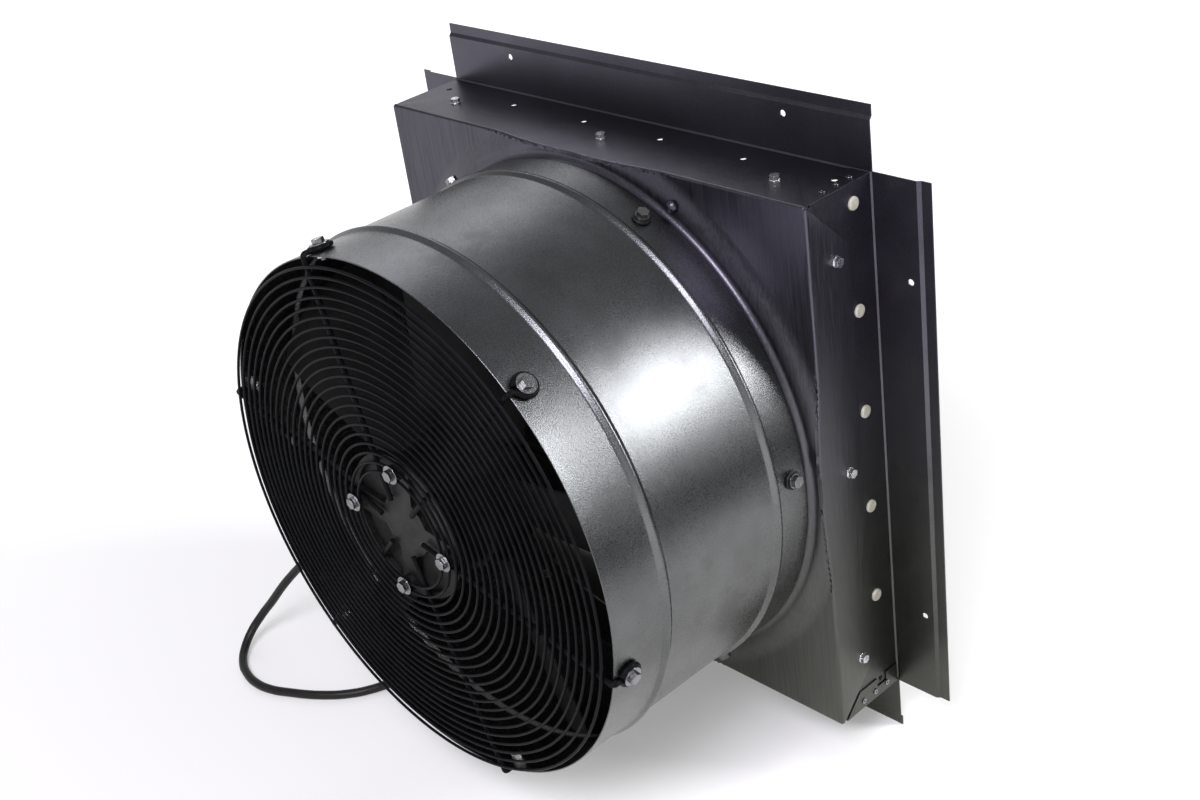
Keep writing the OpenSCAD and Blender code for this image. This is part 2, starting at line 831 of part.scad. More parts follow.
bushing_head_t = 2.7;
bushing_crown = 0.8;
bushing_fit = 0.05;
bushing_lip_d = 11;
bushing_lip_t = 1.5;
rod_end_gap = 0.5;
bushing_rim_t = bushing_head_t - bushing_crown;
rod_half = side_x - web_out + bushing_rim_t - rod_end_gap;

function pivot_z(n) = punch_places(top_z)[n - 1];

module pivot_bushings() {
    color(nylon)
    for (side = [0, 1], n = [1 : louvre_count])
        mirror([side, 0, 0]) translate([side_x - web_in, -pivot_in, pivot_z(n)]) rotate([0, 90, 0])
        difference() {
            union() {
                translate([0, 0, sheet_t + bushing_fit]) cylinder(d = bushing_d, h = bushing_rim_t);
                translate([0, 0, sheet_t + bushing_fit + bushing_rim_t])
                    cylinder(d1 = bushing_d, d2 = bushing_d - 2 * bushing_crown, h = bushing_crown);
                cylinder(d = punch_d - 2 * bushing_fit, h = sheet_t + 2 * bushing_fit);
                translate([0, 0, -bushing_lip_t - bushing_fit])
                    cylinder(d = bushing_lip_d, h = bushing_lip_t);
                translate([0, 0, -bushing_lip_t])
                    cylinder(d = punch_d - 2 * bushing_fit, h = bushing_lip_t + sheet_t);
            }
            translate([0, 0, -bushing_lip_t - over])
                cylinder(d = rod_d + 2 * pivot_clear, h = over + bushing_lip_t + sheet_t + bushing_rim_t);
        }
}

// Louvres: sheet rolled round its rod at the top, hanging over the next one

barrel_wall = 1.2;
rod_fit = 0.03;
lug_t = 1.5;
lug_half_w = 4;
lug_rise = 20;
lug_foot = [8, 24];
pin_clear = 0.15;
pin_fit = 0.05;
hang_out = 2.2;
hem_t = 0.8;
hem_h = 8;
bar_gap = 0.3;
bar_t = 1.8;
bar_w = 8;
bar_end = 7;
pin_head_d = 7;
pin_head_t = 1.2;
barrel_r = rod_d / 2 + rod_fit + barrel_wall;
louvre_half = side_x - web_in - louvre_end_gap;
louvre_drop = (2 * top_z - 2 * pivot_down) / (punch_count - 1) + louvre_lap;
pin_at = [-lug_l * cos(lug_rise), lug_l * sin(lug_rise)];

function sheet_in_y(z) = barrel_r - louvre_t - hang_out * z / louvre_drop;

module along_x(from_x) {
    translate([from_x, 0, 0]) rotate([90, 0, 90]) children();
}

module louvre(n) {
    arm = unit([pin_at[0] - sheet_in_y(0), pin_at[1] + (lug_foot[0] + lug_foot[1]) / 2]);
    across = [arm[1], -arm[0]] * lug_half_w;
    color(aluminium)
    translate([0, -pivot_in, pivot_z(n)]) difference() {
        union() {
            along_x(-louvre_half) cylinder(r = barrel_r, h = 2 * louvre_half);
            along_x(-louvre_half) linear_extrude(height = 2 * louvre_half)
                polygon([[barrel_r, 0], [barrel_r + hang_out, -louvre_drop],
                         [barrel_r + hang_out - louvre_t - hem_t, -louvre_drop],
                         [barrel_r + hang_out - louvre_t - hem_t, hem_h - louvre_drop],
                         [sheet_in_y(hem_h - louvre_drop), hem_h - louvre_drop], [sheet_in_y(0), 0]]);
            along_x(tie_x - lug_t / 2) linear_extrude(height = lug_t) {
                translate(pin_at) circle(r = lug_half_w);
                polygon([[sheet_in_y(-lug_foot[0]) + louvre_t / 2, -lug_foot[0]],
                         pin_at + across, pin_at - across,
                         [sheet_in_y(-lug_foot[1]) + louvre_t / 2, -lug_foot[1]]]);
            }
        }
        along_x(-louvre_half - over) cylinder(r = rod_d / 2 + rod_fit, h = 2 * louvre_half + 2 * over);
        along_x(tie_x - lug_t) translate(pin_at) cylinder(d = rod_d + 2 * pin_clear, h = 2 * lug_t);
    }
}

module pivot_rod(n) {
    color("silver")
    translate([0, -pivot_in, pivot_z(n)]) along_x(-rod_half) cylinder(d = rod_d, h = 2 * rod_half);
}

// Tie bar and its pins, which pass through the louvres' lugs

bar_x = tie_x + lug_t / 2 + bar_gap;

module tie_bar() {
    pin_y = -pivot_in + pin_at[0];
    from_z = pivot_z(louvre_count) + pin_at[1] - bar_end;
    to_z = pivot_z(1) + pin_at[1] + bar_end;
    color(zinc)
    difference() {
        translate([bar_x, pin_y - bar_w / 2, from_z]) cube([bar_t, bar_w, to_z - from_z]);
        for (n = [1 : louvre_count])
            translate([0, pin_y, pivot_z(n) + pin_at[1]]) along_x(bar_x - over)
                cylinder(d = rod_d + 2 * pin_fit, h = bar_t + 2 * over);
    }
}

module tie_pins() {
    color("silver")
    for (n = [1 : louvre_count])
        translate([0, -pivot_in + pin_at[0], pivot_z(n) + pin_at[1]]) {
            along_x(bar_x - bar_gap - lug_t - bar_gap)
                cylinder(d = rod_d, h = lug_t + 2 * bar_gap + bar_t + pin_fit);
            along_x(bar_x + bar_t + pin_fit) cylinder(d = pin_head_d, h = pin_head_t);
            along_x(bar_x - 2 * bar_gap - lug_t - pin_head_t)
                cylinder(d = pin_head_d, h = pin_head_t + bar_gap / 2);
        }
}

// Terminal box on the tube's far side, with its lid, capacitor and cable gland

term_wall = 2.5;
term_from_rim = 19;
term_low = 55;
lid_t = 2.5;
lid_screw_d = 4;
lid_screw_in = 5;
lid_head_d = 7.5;
lid_head_t = 1.5;
lid_pilot_d = 3;
lid_boss_l = 14;
lead_hole_from_rim = 29;
lead_hole_clear = 0.4;
cap_size = [18, 32, 46];
cap_round = 4;
cap_from_end = 8;
gland_from_out = 13;
gland_flats = 22;
gland_thread_d = 16;
gland_seat_t = 6;
gland_dome_l = 12;
gland_dome_d = 20;
gland_nut_t = 5;
boot_l = 35;
boot_tip_wall = 1.8;
boot_root_d = 16;
boot_ribs = 5;
boot_rib_out = 0.9;
boot_rib_w = 2.2;
term_out_x = -(tube_r + term_out);
term_front_y = rim_y + term_from_rim;
term_top_z = term_h - term_low;
lead_hole_y = rim_y + lead_hole_from_rim;
gland_x = term_out_x + gland_from_out;
gland_y = term_front_y + term_l - 2 * gland_from_out;
gland_low_z = -term_low - gland_seat_t - gland_dome_l;
cord_start_z = gland_low_z - boot_l;

module lead_hole() {
    translate([-tube_r - over, lead_hole_y, 0]) rotate([0, 90, 0])
        cylinder(d = lead_d + 2 * lead_hole_clear, h = 2 * over + 2 * sheet_t);
}

module lid_screw_places() {
    for (y = [term_front_y + lid_screw_in, term_front_y + term_l - lid_screw_in],
         z = [-term_low + lid_screw_in, term_top_z - lid_screw_in])
        translate([term_out_x, y, z]) children();
}

module terminal_box() {
    color(black_rubber)
    difference() {
        union() {
            difference() {
                translate([term_out_x, term_front_y, -term_low])
                    cube([term_out + tube_r / 2, term_l, term_h]);
                translate([term_out_x - over, term_front_y + term_wall, -term_low + term_wall])
                    cube([term_out + tube_r, term_l - 2 * term_wall, term_h - 2 * term_wall]);
            }
            lid_screw_places() rotate([0, 90, 0]) cylinder(r = lid_screw_in, h = lid_boss_l);
        }
        along_y(rim_y) cylinder(r = tube_r + seat_gap, h = tube_l);
        along_y(front_bead_y - bead_w / 2) cylinder(r = tube_r + bead_h + seat_gap, h = bead_w);
        lid_screw_places() rotate([0, 90, 0]) translate([0, 0, -over])
            cylinder(d = lid_pilot_d, h = lid_boss_l);
        translate([gland_x, gland_y, -term_low - over])
            cylinder(d = gland_thread_d + bolt_clear, h = term_wall + 2 * over);
    }
}

module terminal_lid() {
    color(black_rubber)
    difference() {
        translate([term_out_x - lid_t, term_front_y, -term_low]) cube([lid_t, term_l, term_h]);
        lid_screw_places() rotate([0, -90, 0]) translate([0, 0, -over])
            cylinder(d = lid_screw_d, h = lid_t + 2 * over);
    }
}

module lid_screws() {
    color(zinc)
    lid_screw_places() rotate([0, -90, 0]) {
        translate([0, 0, lid_t + part_gap]) cylinder(d = lid_head_d, h = lid_head_t);
        translate([0, 0, -lid_boss_l / 2])
            cylinder(d = lid_pilot_d - part_gap, h = lid_boss_l / 2 + lid_t + lid_head_t / 2);
    }
}

module run_capacitor() {
    color(nylon)
    translate([term_out_x + part_gap, term_front_y + term_l - term_wall - cap_size[1] / 2 - cap_from_end,
               term_top_z - term_wall - cap_size[2] / 2 - cap_from_end])
        along_x(0) linear_extrude(height = cap_size[0]) round_rect(cap_size[1], cap_size[2], cap_round);
}

module cable_gland() {
    color(black_rubber)
    translate([gland_x, gland_y, -term_low]) {
        translate([0, 0, -gland_seat_t])
            cylinder(d = gland_flats / cos(30), h = gland_seat_t - part_gap, $fn = 6);
        translate([0, 0, -gland_seat_t - gland_dome_l]) cylinder(d = gland_dome_d, h = gland_dome_l);
        translate([0, 0, -gland_seat_t])
            cylinder(d = gland_thread_d, h = gland_seat_t + term_wall + gland_nut_t);
        translate([0, 0, term_wall + part_gap])
            cylinder(d = gland_flats / cos(30), h = gland_nut_t - part_gap, $fn = 6);
    }
}

module strain_boot() {
    color(black_rubber)
    translate([gland_x, gland_y, cord_start_z]) {
        cylinder(d1 = cord_d + 2 * boot_tip_wall, d2 = boot_root_d, h = boot_l);
        for (k = [1 : boot_ribs])
            translate([0, 0, boot_l * (1 - k / (boot_ribs + 1)) - boot_rib_w / 2])
                cylinder(d = boot_root_d - (boot_root_d - cord_d - 2 * boot_tip_wall) * k / (boot_ribs + 1)
                         + 2 * boot_rib_out, h = boot_rib_w);
    }
}

// Motor lead behind one rib, through the tube's side into the terminal box

lead_gap = 0.1;
lead_rib = 4;
lead_leave_r = 165;
lead_steps = 4;
lead_straight = 3;
lead_pull = 4;
tie_wall = 1;
tie_w = 2.5;
tie_rings = [9.5, 14.5];
lead_angle = rib_angle + lead_rib * 360 / rib_count;
lead_back = (rib_wire_d + lead_d) / 2 + lead_gap;
lead_out = [sin(lead_angle), 0, cos(lead_angle)];
lead_turn = [-(tube_r - lead_straight * lead_d), lead_hole_y, 0];
lead_end = [-(tube_r + lead_d), lead_hole_y, 0];

function lead_at(r) = r * lead_out + [0, rib_y(r) + lead_back, 0];
function curve_at(a, b, c, d, s) =
    pow(1 - s, 3) * a + 3 * s * pow(1 - s, 2) * b + 3 * s * s * (1 - s) * c + pow(s, 3) * d;

lead_points = concat(
    [for (k = [0 : lead_steps])
     lead_at(motor_flange_r + seat_gap + (lead_leave_r - motor_flange_r) * k / lead_steps)],
    [for (k = [1 : 2 * lead_steps])
     curve_at(lead_at(lead_leave_r), lead_at(lead_leave_r) + lead_out * lead_pull * lead_d,
              lead_turn + [lead_straight * lead_d, 0, 0], lead_turn, k / (2 * lead_steps))],
    [lead_end]);

module motor_lead() {
    color(black_rubber)
    swept_tube(lead_points, lead_d, 8, [0, 1, 0]);
}

module lead_ties() {
    color(black_rubber)
    for (j = tie_rings) {
        r = tube_r - ring_edge - j * ring_pitch;
        middle = rib_y(r) + lead_back / 2 + (lead_d - rib_wire_d) / 4;
        high = rib_wire_d + lead_d + 3 * seat_gap;
        wide = lead_d + 3 * seat_gap;
        at_angle(lead_angle) translate([0, middle, r]) linear_extrude(height = tie_w, center = true)
            difference() {
                round_rect(wide + 2 * tie_wall, high + 2 * tie_wall, 2 * tie_wall);
                round_rect(wide, high, tie_wall);
            }
    }
}

// Power cord: free stretch, coil of the spare length, tie and plug

lift = 1.2;
coil_at = [-90, -150];
coil_pitch_gap = 0.9;
coil_layer_gap = 0.6;
coil_exit_l = 26;
coil_rings = 24;
coil_sides = 6;
coil_low_z = floor_z + lift + cord_d / 2;
coil_pitch = cord_d + coil_pitch_gap;
coil_layer = cord_d + coil_layer_gap;
climb_from = coil_turns / 2 - 1 / 4;
climb_to = coil_turns / 2 + 1 / 4;

cord_points = [
    [-269, -262, -108], [-269, -262, -128], [-273, -262, -150], [-285, -263, -171], [-303, -266, -189],
    [-322, -271, -205], [-341, -279, -224], [-358, -290, -245], [-373, -299, -266], [-387, -310, -286],
    [-391, -325, -301], [-384, -342, -312], [-369, -355, -315.6], [-347, -364, -315.6], [-324, -367, -315.6],
    [-301, -363, -315.6], [-281, -354, -315.6], [-248, -335, -315.6], [-223, -313, -315.6],
    [-209, -292, -315.6], [-200, -270, -315.6], [-190, -250, -315.6], [-176.5, -231, -315.5],
    [-163.7, -212.7, -315.2], [-157.8, -201.6, -315], [-153.5, -189.8, -314.7], [-150.9, -177.5, -314.5],
    [-150, -165, -314.45], [-150, -159.5, -314.45]
];

// Turns wound in from the edge at u turns, and the height climbed by then
function wound_in(u) =
    u < climb_from ? u : u > climb_to ? coil_turns - u :
    climb_from + (u - climb_from) - 2 * pow(u - climb_from, 2);
function climbed(u) =
    let (s = max(0, min(1, (u - climb_from) / (climb_to - climb_from)))) s * s * (3 - 2 * s);
function coil_at_turn(u) =
    let (r = coil_r - coil_pitch * wound_in(u), a = 180 - 360 * u)
    [coil_at[0] + r * cos(a), coil_at[1] + r * sin(a), coil_low_z + coil_layer * climbed(u)];

coil_points = concat(
    [coil_at_turn(0) - [0, cord_d, 0]],
    [for (k = [0 : coil_turns * coil_rings]) coil_at_turn(k / coil_rings)],
    [coil_at_turn(coil_turns) + [0, coil_exit_l, 0]]);
coil_skip = 8;
coil_self_gap = min([
    for (i = [0 : len(coil_points) - 1 - coil_skip], j = [i + coil_skip : len(coil_points) - 1])
        norm(coil_points[i] - coil_points[j])
]) - cord_d;

echo(coil_self_gap = coil_self_gap, coil_length = path_length(coil_points));
echo(free_cord_length = path_length(cord_points), lead_length = path_length(lead_points));

module power_cord() {
    color(black_rubber)
    swept_tube(cord_points, cord_d, 10, [0, 1, 0]);
}

module cord_coil() {
    color(black_rubber)
    swept_tube(coil_points, cord_d, coil_sides, [0, 0, 1]);
}

coil_tie_t = 1;
coil_tie_w = 14;
coil_tie_gap = 0.8;

module coil_tie() {
    inner_r = coil_r - 1.5 * coil_pitch - cord_d / 2 - coil_tie_gap;
    outer_r = coil_r - coil_pitch / 2 + cord_d / 2 + coil_tie_gap;
    tall = coil_layer + cord_d + 2 * (lift - coil_tie_t);
    color(black_rubber)
    translate([coil_at[0] + (inner_r + outer_r) / 2, coil_at[1], coil_low_z + coil_layer / 2])
        rotate([90, 0, 0]) linear_extrude(height = coil_tie_w, center = true) difference() {
            round_rect(outer_r - inner_r + 2 * coil_tie_t, tall + 2 * coil_tie_t, 3 * coil_tie_t);
            round_rect(outer_r - inner_r, tall, 2 * coil_tie_t);
        }
}

plug_boot_l = 40;
plug_boot_wall = 1.8;
plug_body_size = [27, 32.1, 34];
plug_round = 6;
plug_boot_root_d = 20;
blade_pin = [1.5, 6.3, 17.5];
blade_pin_apart = 12.7;
earth_pin = [4.8, 20.6];
earth_below = 11.9;
pins_up = 4;
plug_start = coil_at_turn(coil_turns) + [0, coil_exit_l, 0];
plug_face_y = plug_start[1] + plug_boot_l + plug_body_size[2];

module plug_body() {
    color(black_rubber)
    translate([plug_start[0], 0, plug_start[2]]) {
        along_y(plug_start[1])
            cylinder(d1 = cord_d + 2 * plug_boot_wall, d2 = plug_boot_root_d, h = plug_boot_l + seat_gap);
        along_y(plug_start[1] + plug_boot_l) linear_extrude(height = plug_body_size[2])
            round_rect(plug_body_size[0], plug_body_size[1], plug_round);
    }
}

module plug_pins() {
    color("silver")
    translate([plug_start[0], plug_face_y + part_gap, plug_start[2] + pins_up]) {
        for (s = [-1, 1])
            translate([s * blade_pin_apart / 2 - blade_pin[0] / 2, 0, -blade_pin[1] / 2])
                cube([blade_pin[0], blade_pin[2], blade_pin[1]]);
        translate([0, 0, -earth_below]) rotate([-90, 0, 0]) cylinder(d = earth_pin[0], h = earth_pin[1]);
    }
}

fan_panel();
face_rivet();
duct_tube();
collar_bolts();
collar_washers();
collar_nuts();
guard_rings();
guard_ribs();
guard_bolts();
guard_washers();
guard_nuts();
motor_flange();
motor_screws();
motor_washers();
stator_core();
stator_windings();
front_bearing();
rear_bearing();
motor_shaft();
rotor_shell();
hub_ring();
blade(1);  // blade_1
blade(2);  // blade_2
blade(3);  // blade_3
blade(4);  // blade_4
blade(5);  // blade_5
right_rail();
top_rail();
left_rail();
bottom_rail();
corner_rivets();
panel_screws();
pivot_bushings();
louvre(1);  // louvre_1
louvre(2);  // louvre_2
louvre(3);  // louvre_3
louvre(4);  // louvre_4
louvre(5);  // louvre_5
pivot_rod(1);  // pivot_rod_1
pivot_rod(2);  // pivot_rod_2
pivot_rod(3);  // pivot_rod_3
pivot_rod(4);  // pivot_rod_4
pivot_rod(5);  // pivot_rod_5
tie_bar();
tie_pins();
terminal_box();
terminal_lid();
lid_screws();
run_capacitor();
motor_lead();
lead_ties();
cable_gland();
strain_boot();
power_cord();
cord_coil();
coil_tie();
plug_body();
plug_pins();
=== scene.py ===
import json
import math

import bmesh
import bpy
from mathutils import Matrix, Vector


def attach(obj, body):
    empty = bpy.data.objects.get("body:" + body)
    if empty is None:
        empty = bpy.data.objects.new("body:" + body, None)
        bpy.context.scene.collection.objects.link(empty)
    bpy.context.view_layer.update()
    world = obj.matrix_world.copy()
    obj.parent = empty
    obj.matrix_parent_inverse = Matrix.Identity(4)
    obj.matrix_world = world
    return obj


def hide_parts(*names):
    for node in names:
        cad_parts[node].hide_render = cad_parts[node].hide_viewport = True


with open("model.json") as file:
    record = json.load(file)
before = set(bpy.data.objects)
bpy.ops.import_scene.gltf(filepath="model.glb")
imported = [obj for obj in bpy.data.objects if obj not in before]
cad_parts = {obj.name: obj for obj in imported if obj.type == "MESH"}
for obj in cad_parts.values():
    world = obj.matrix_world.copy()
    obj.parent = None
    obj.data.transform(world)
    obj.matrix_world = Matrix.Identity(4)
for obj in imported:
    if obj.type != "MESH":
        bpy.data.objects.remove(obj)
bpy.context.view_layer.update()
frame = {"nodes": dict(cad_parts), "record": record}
cadNodes = frame["nodes"]
bodies = frame["record"]["behaviour"]["bodies"]
pieceBody = {node: body for body, members in bodies.items() for node in members}
print("frame loaded:", len(cadNodes), "nodes")

mm = 0.001

# Distances that count as none, in metres, and the least part of a normal that counts as flat
near = {"merge": 0.00001, "cadMerge": 0.000005, "cut": 0.000001, "wall": 0.00001, "flat": 0.99999}

# Main sizes of the fan, in metres, in the frame's own axes, and the number of its blades and of its louvres
fan = {
    "tubeRadius": 0.254,
    "sheet": 0.0012,
    "rimY": -0.335,
    "tubeEndY": -0.099,
    "faceY": -0.085,
    "sideX": 0.267,
    "topZ": 0.2634,
    "flange": 0.057,
    "setCount": 5,
}
fan["floorZ"] = -(fan["topZ"] + fan["flange"])

# Camera, at the photograph's viewing angle
cameraSet = {
    "place": (1.09506, -1.02364, 0.79871),
    "right": (0.69201184, 0.71074355, -0.12634563),
    "up": (-0.27029548, 0.41739987, 0.86759305),
    "back": (0.66937282, -0.56623401, 0.48095643),
    "lens": 51.066,
    "sensor": 36.0,
    "clip": (0.05, 50),
}


def addCamera(look):
    data = bpy.data.cameras.new("camera")
    data.lens = look["lens"]
    data.sensor_width = look["sensor"]
    data.sensor_fit = "HORIZONTAL"
    data.clip_start, data.clip_end = look["clip"]
    camera = bpy.data.objects.new("camera", data)
    turn = Matrix([look["right"], look["up"], look["back"]]).transposed().to_4x4()
    camera.matrix_world = Matrix.Translation(look["place"]) @ turn
    bpy.context.scene.collection.objects.link(camera)
    bpy.context.scene.camera = camera


addCamera(cameraSet)


# Shader helpers
def newGroup(name, inputs, outputs):
    group = bpy.data.node_groups.new(name, "ShaderNodeTree")
    for label, kind, value in inputs:
        socket = group.interface.new_socket(name=label, in_out="INPUT", socket_type=kind)
        socket.default_value = value
    for label, kind in outputs:
        group.interface.new_socket(name=label, in_out="OUTPUT", socket_type=kind)
    return group, group.nodes.new("NodeGroupInput"), group.nodes.new("NodeGroupOutput")


def addNode(tree, kind, **values):
    node = tree.nodes.new(kind)
    for key, value in values.items():
        setattr(node, key, value)
    return node


def mathNode(tree, operation, first, second=None, third=None, clamp=False):
    node = addNode(tree, "ShaderNodeMath", operation=operation, use_clamp=clamp)
    for slot, value in enumerate((first, second, third)):
        if value is None:
            continue
        if isinstance(value, (int, float)):
            node.inputs[slot].default_value = value
        else:
            tree.links.new(value, node.inputs[slot])
    return node.outputs[0]


def rangeNode(tree, value, low, high, outLow=0.0, outHigh=1.0):
    node = addNode(tree, "ShaderNodeMapRange", interpolation_type="SMOOTHSTEP")
    tree.links.new(value, node.inputs["Value"])
    for label, number in (("From Min", low), ("From Max", high), ("To Min", outLow), ("To Max", outHigh)):
        node.inputs[label].default_value = number
    return node.outputs[0]


# Masks of rolled or coated sheet, each with its noise's detail and the levels it rises between
grainMasks = {"Grain": (2.0, 0.32, 0.68), "Cloud": (4.0, 0.35, 0.68), "Smudge": (5.0, 0.54, 0.72)}
grainRoughness = 0.62


def makeSheetGrain():
    scales = [(f"{label} Scale", "NodeSocketFloat", 1.0) for label in grainMasks]
    masks = [(label, "NodeSocketFloat") for label in grainMasks]
    vector = [("Vector", "NodeSocketVector", (0, 0, 0))]
    group, source, result = newGroup("sheetGrain", vector + scales, masks)
    for label, (detail, low, high) in grainMasks.items():
        noise = addNode(group, "ShaderNodeTexNoise")
        noise.inputs["Detail"].default_value = detail
        noise.inputs["Roughness"].default_value = grainRoughness
        group.links.new(source.outputs["Vector"], noise.inputs["Vector"])
        group.links.new(source.outputs[f"{label} Scale"], noise.inputs["Scale"])
        group.links.new(rangeNode(group, noise.outputs["Fac"], low, high), result.inputs[label])
    return group


sheetGrain = makeSheetGrain()


def startMaterial(name):
    material = bpy.data.materials.new(name)
    material.use_nodes = True
    tree = material.node_tree
    shader = tree.nodes["Principled BSDF"]
    return material, tree, shader


def heightIn(tree, system):
    parts = addNode(tree, "ShaderNodeSeparateXYZ")
    tree.links.new(addNode(tree, "ShaderNodeTexCoord").outputs[system], parts.inputs["Vector"])
    return parts.outputs["Z"]


def mixColors(tree, factor, first, second):
    node = addNode(tree, "ShaderNodeMix", data_type="RGBA")
    tree.links.new(factor, node.inputs["Factor"])
    for slot, value in ((6, first), (7, second)):
        if isinstance(value, tuple):
            node.inputs[slot].default_value = (*value, 1)
        else:
            tree.links.new(value, node.inputs[slot])
    return node.outputs[2]


# Values that all sheet metals share, and those that all coats share
sheetSet = {"smudgeRough": 0.04, "bumpDepth": 0.2 * mm, "paintedTintSpan": (-0.25, 0.25)}
coatSet = {"smudgeScale": 40.0, "bumpDepth": 0.15 * mm, "dustColor": (0.3, 0.3, 0.3), "specular": 0.5}


# The look's grain, stretched along the axes as the look says
def grainNode(tree, look):
    mapping = addNode(tree, "ShaderNodeMapping")
    mapping.inputs["Scale"].default_value = look.get("stretch", (1, 1, 1))
    tree.links.new(addNode(tree, "ShaderNodeTexCoord").outputs["Object"], mapping.inputs["Vector"])
    grain = addNode(tree, "ShaderNodeGroup", node_tree=sheetGrain)
    tree.links.new(mapping.outputs["Vector"], grain.inputs["Vector"])
    grain.inputs["Grain Scale"].default_value = look["grainScale"]
    grain.inputs["Cloud Scale"].default_value = look["cloudScale"]
    grain.inputs["Smudge Scale"].default_value = look.get("smudgeScale", coatSet["smudgeScale"])
    return grain


def addBump(tree, shader, grain, strength, depth):
    bump = addNode(tree, "ShaderNodeBump")
    bump.inputs["Strength"].default_value = strength
    bump.inputs["Distance"].default_value = depth
    tree.links.new(grain.outputs["Grain"], bump.inputs["Height"])
    tree.links.new(bump.outputs["Normal"], shader.inputs["Normal"])


# Painted light: a slow shift of hue between the fan's foot and its top, cooler and purplish above and olive
# below, standing in for the tints of the lamps' light
def paintedLightTint(tree, color, look):
    rise = rangeNode(tree, heightIn(tree, "Object"), *sheetSet["paintedTintSpan"])
    hue = mixColors(tree, rise, look["low"], look["high"])
    tinted = addNode(tree, "ShaderNodeMix", data_type="RGBA", blend_type="MULTIPLY")
    tinted.inputs["Factor"].default_value = 1.0
    tree.links.new(color, tinted.inputs[6])
    tree.links.new(hue, tinted.inputs[7])
    return tinted.outputs[2]


# Painted shade: a dark band under the edge of the louvre above, at each lap
lapSet = {
    "first": 0.245, "pitch": 0.098, "edge": 0.062, "fade": 0.13, "sharpness": 0.004, "strength": 0.8,
    "color": (0.09, 0.09, 0.088),
}


def lapShade(tree, color, lap):
    height, pitch = heightIn(tree, "Object"), lap["pitch"]
    drop = mathNode(tree, "MULTIPLY_ADD", height, -1 / pitch, lap["first"] / pitch)
    share = mathNode(tree, "FRACT", drop)
    below = rangeNode(tree, share, lap["edge"], lap["fade"], 1.0, 0.0)
    under = mathNode(tree, "GREATER_THAN", share, lap["edge"] - lap["sharpness"])
    # Painted shade: how dark the band under the lap is
    dustAndShade = mathNode(tree, "MULTIPLY", mathNode(tree, "MULTIPLY", below, under), lap["strength"])
    return mixColors(tree, dustAndShade, color, lap["color"])


# Sheet metal with grain, clouds and smudges, and where the look asks for them, a painted-light tint by height
# and painted shade under the laps
def sheetMetal(name, look):
    material, tree, shader = startMaterial(name)
    grain = grainNode(tree, look)
    color = mixColors(tree, grain.outputs["Cloud"], look["dark"], look["light"])
    specks = mathNode(tree, "MULTIPLY", grain.outputs["Grain"], look["speck"])
    smudges = mathNode(tree, "MULTIPLY", grain.outputs["Smudge"], look["smudge"])
    wearAndPaintedLight = mixColors(tree, smudges, mixColors(tree, specks, color, look["bright"]), look["smudgeColor"])
    # Painted light: the hue by height; then painted shade: dark bands under the louvres' laps
    if "high" in look:
        wearAndPaintedLight = paintedLightTint(tree, wearAndPaintedLight, look)
    if "lap" in look:
        wearAndPaintedLight = lapShade(tree, wearAndPaintedLight, look["lap"])
    tree.links.new(wearAndPaintedLight, shader.inputs["Base Color"])
    rough = mathNode(tree, "MULTIPLY_ADD", grain.outputs["Grain"], look["roughSpread"], look["rough"])
    blur = mathNode(tree, "MULTIPLY", grain.outputs["Smudge"], sheetSet["smudgeRough"])
    tree.links.new(mathNode(tree, "ADD", rough, blur, clamp=True), shader.inputs["Roughness"])
    shader.inputs["Metallic"].default_value = 1.0
    addBump(tree, shader, grain, look["bump"], sheetSet["bumpDepth"])
    return material


# Paint, plastic and rubber: one colour with a slow variation, and a fine bump
def coated(name, look):
    material, tree, shader = startMaterial(name)
    grain = grainNode(tree, look)
    color = mixColors(tree, grain.outputs["Cloud"], look["dark"], look["light"])
    dust = mathNode(tree, "MULTIPLY", grain.outputs["Smudge"], look.get("dust", 0.0))
    dustAndShade = mixColors(tree, dust, color, look.get("dustColor", coatSet["dustColor"]))
    tree.links.new(dustAndShade, shader.inputs["Base Color"])
    rough = rangeNode(tree, grain.outputs["Cloud"], 0, 1, look["rough"], look["rough"] + look["roughSpread"])
    tree.links.new(rough, shader.inputs["Roughness"])
    shader.inputs["Specular IOR Level"].default_value = look.get("specular", coatSet["specular"])
    addBump(tree, shader, grain, look["bump"], coatSet["bumpDepth"])
    return material


# The "high" and "low" hues of these sheet metals are painted light: the tint of the lamps' light by height
tubeSteel = sheetMetal("tubeSteel", {
    "dark": (0.088, 0.09, 0.09), "light": (0.142, 0.146, 0.146), "bright": (0.24, 0.245, 0.24),
    "speck": 0.2, "smudge": 0.4, "smudgeColor": (0.07, 0.071, 0.066), "grainScale": 1000.0,
    "cloudScale": 6.0, "smudgeScale": 13.0, "rough": 0.24, "roughSpread": 0.09, "bump": 0.3,
    "high": (0.98, 0.99, 1.05), "low": (1.03, 1.03, 0.96)})
panelSteel = sheetMetal("panelSteel", {
    "dark": (0.05, 0.05, 0.05), "light": (0.08, 0.08, 0.08), "bright": (0.14, 0.14, 0.14), "speck": 0.3,
    "smudge": 0.3, "smudgeColor": (0.036, 0.036, 0.036), "grainScale": 700.0, "cloudScale": 5.0,
    "smudgeScale": 16.0, "rough": 0.29, "roughSpread": 0.1, "bump": 0.2, "stretch": (1, 1, 0.03),
    "high": (1.0, 0.95, 1.2), "low": (1.0, 1.03, 0.89)})
railSteel = sheetMetal("railSteel", {
    "dark": (0.06, 0.06, 0.06), "light": (0.09, 0.09, 0.09), "bright": (0.15, 0.15, 0.15), "speck": 0.25,
    "smudge": 0.35, "smudgeColor": (0.042, 0.042, 0.042), "grainScale": 800.0, "cloudScale": 5.0,
    "smudgeScale": 18.0, "rough": 0.3, "roughSpread": 0.1, "bump": 0.2, "high": (1.0, 0.95, 1.2),
    "low": (1.0, 1.03, 0.89)})
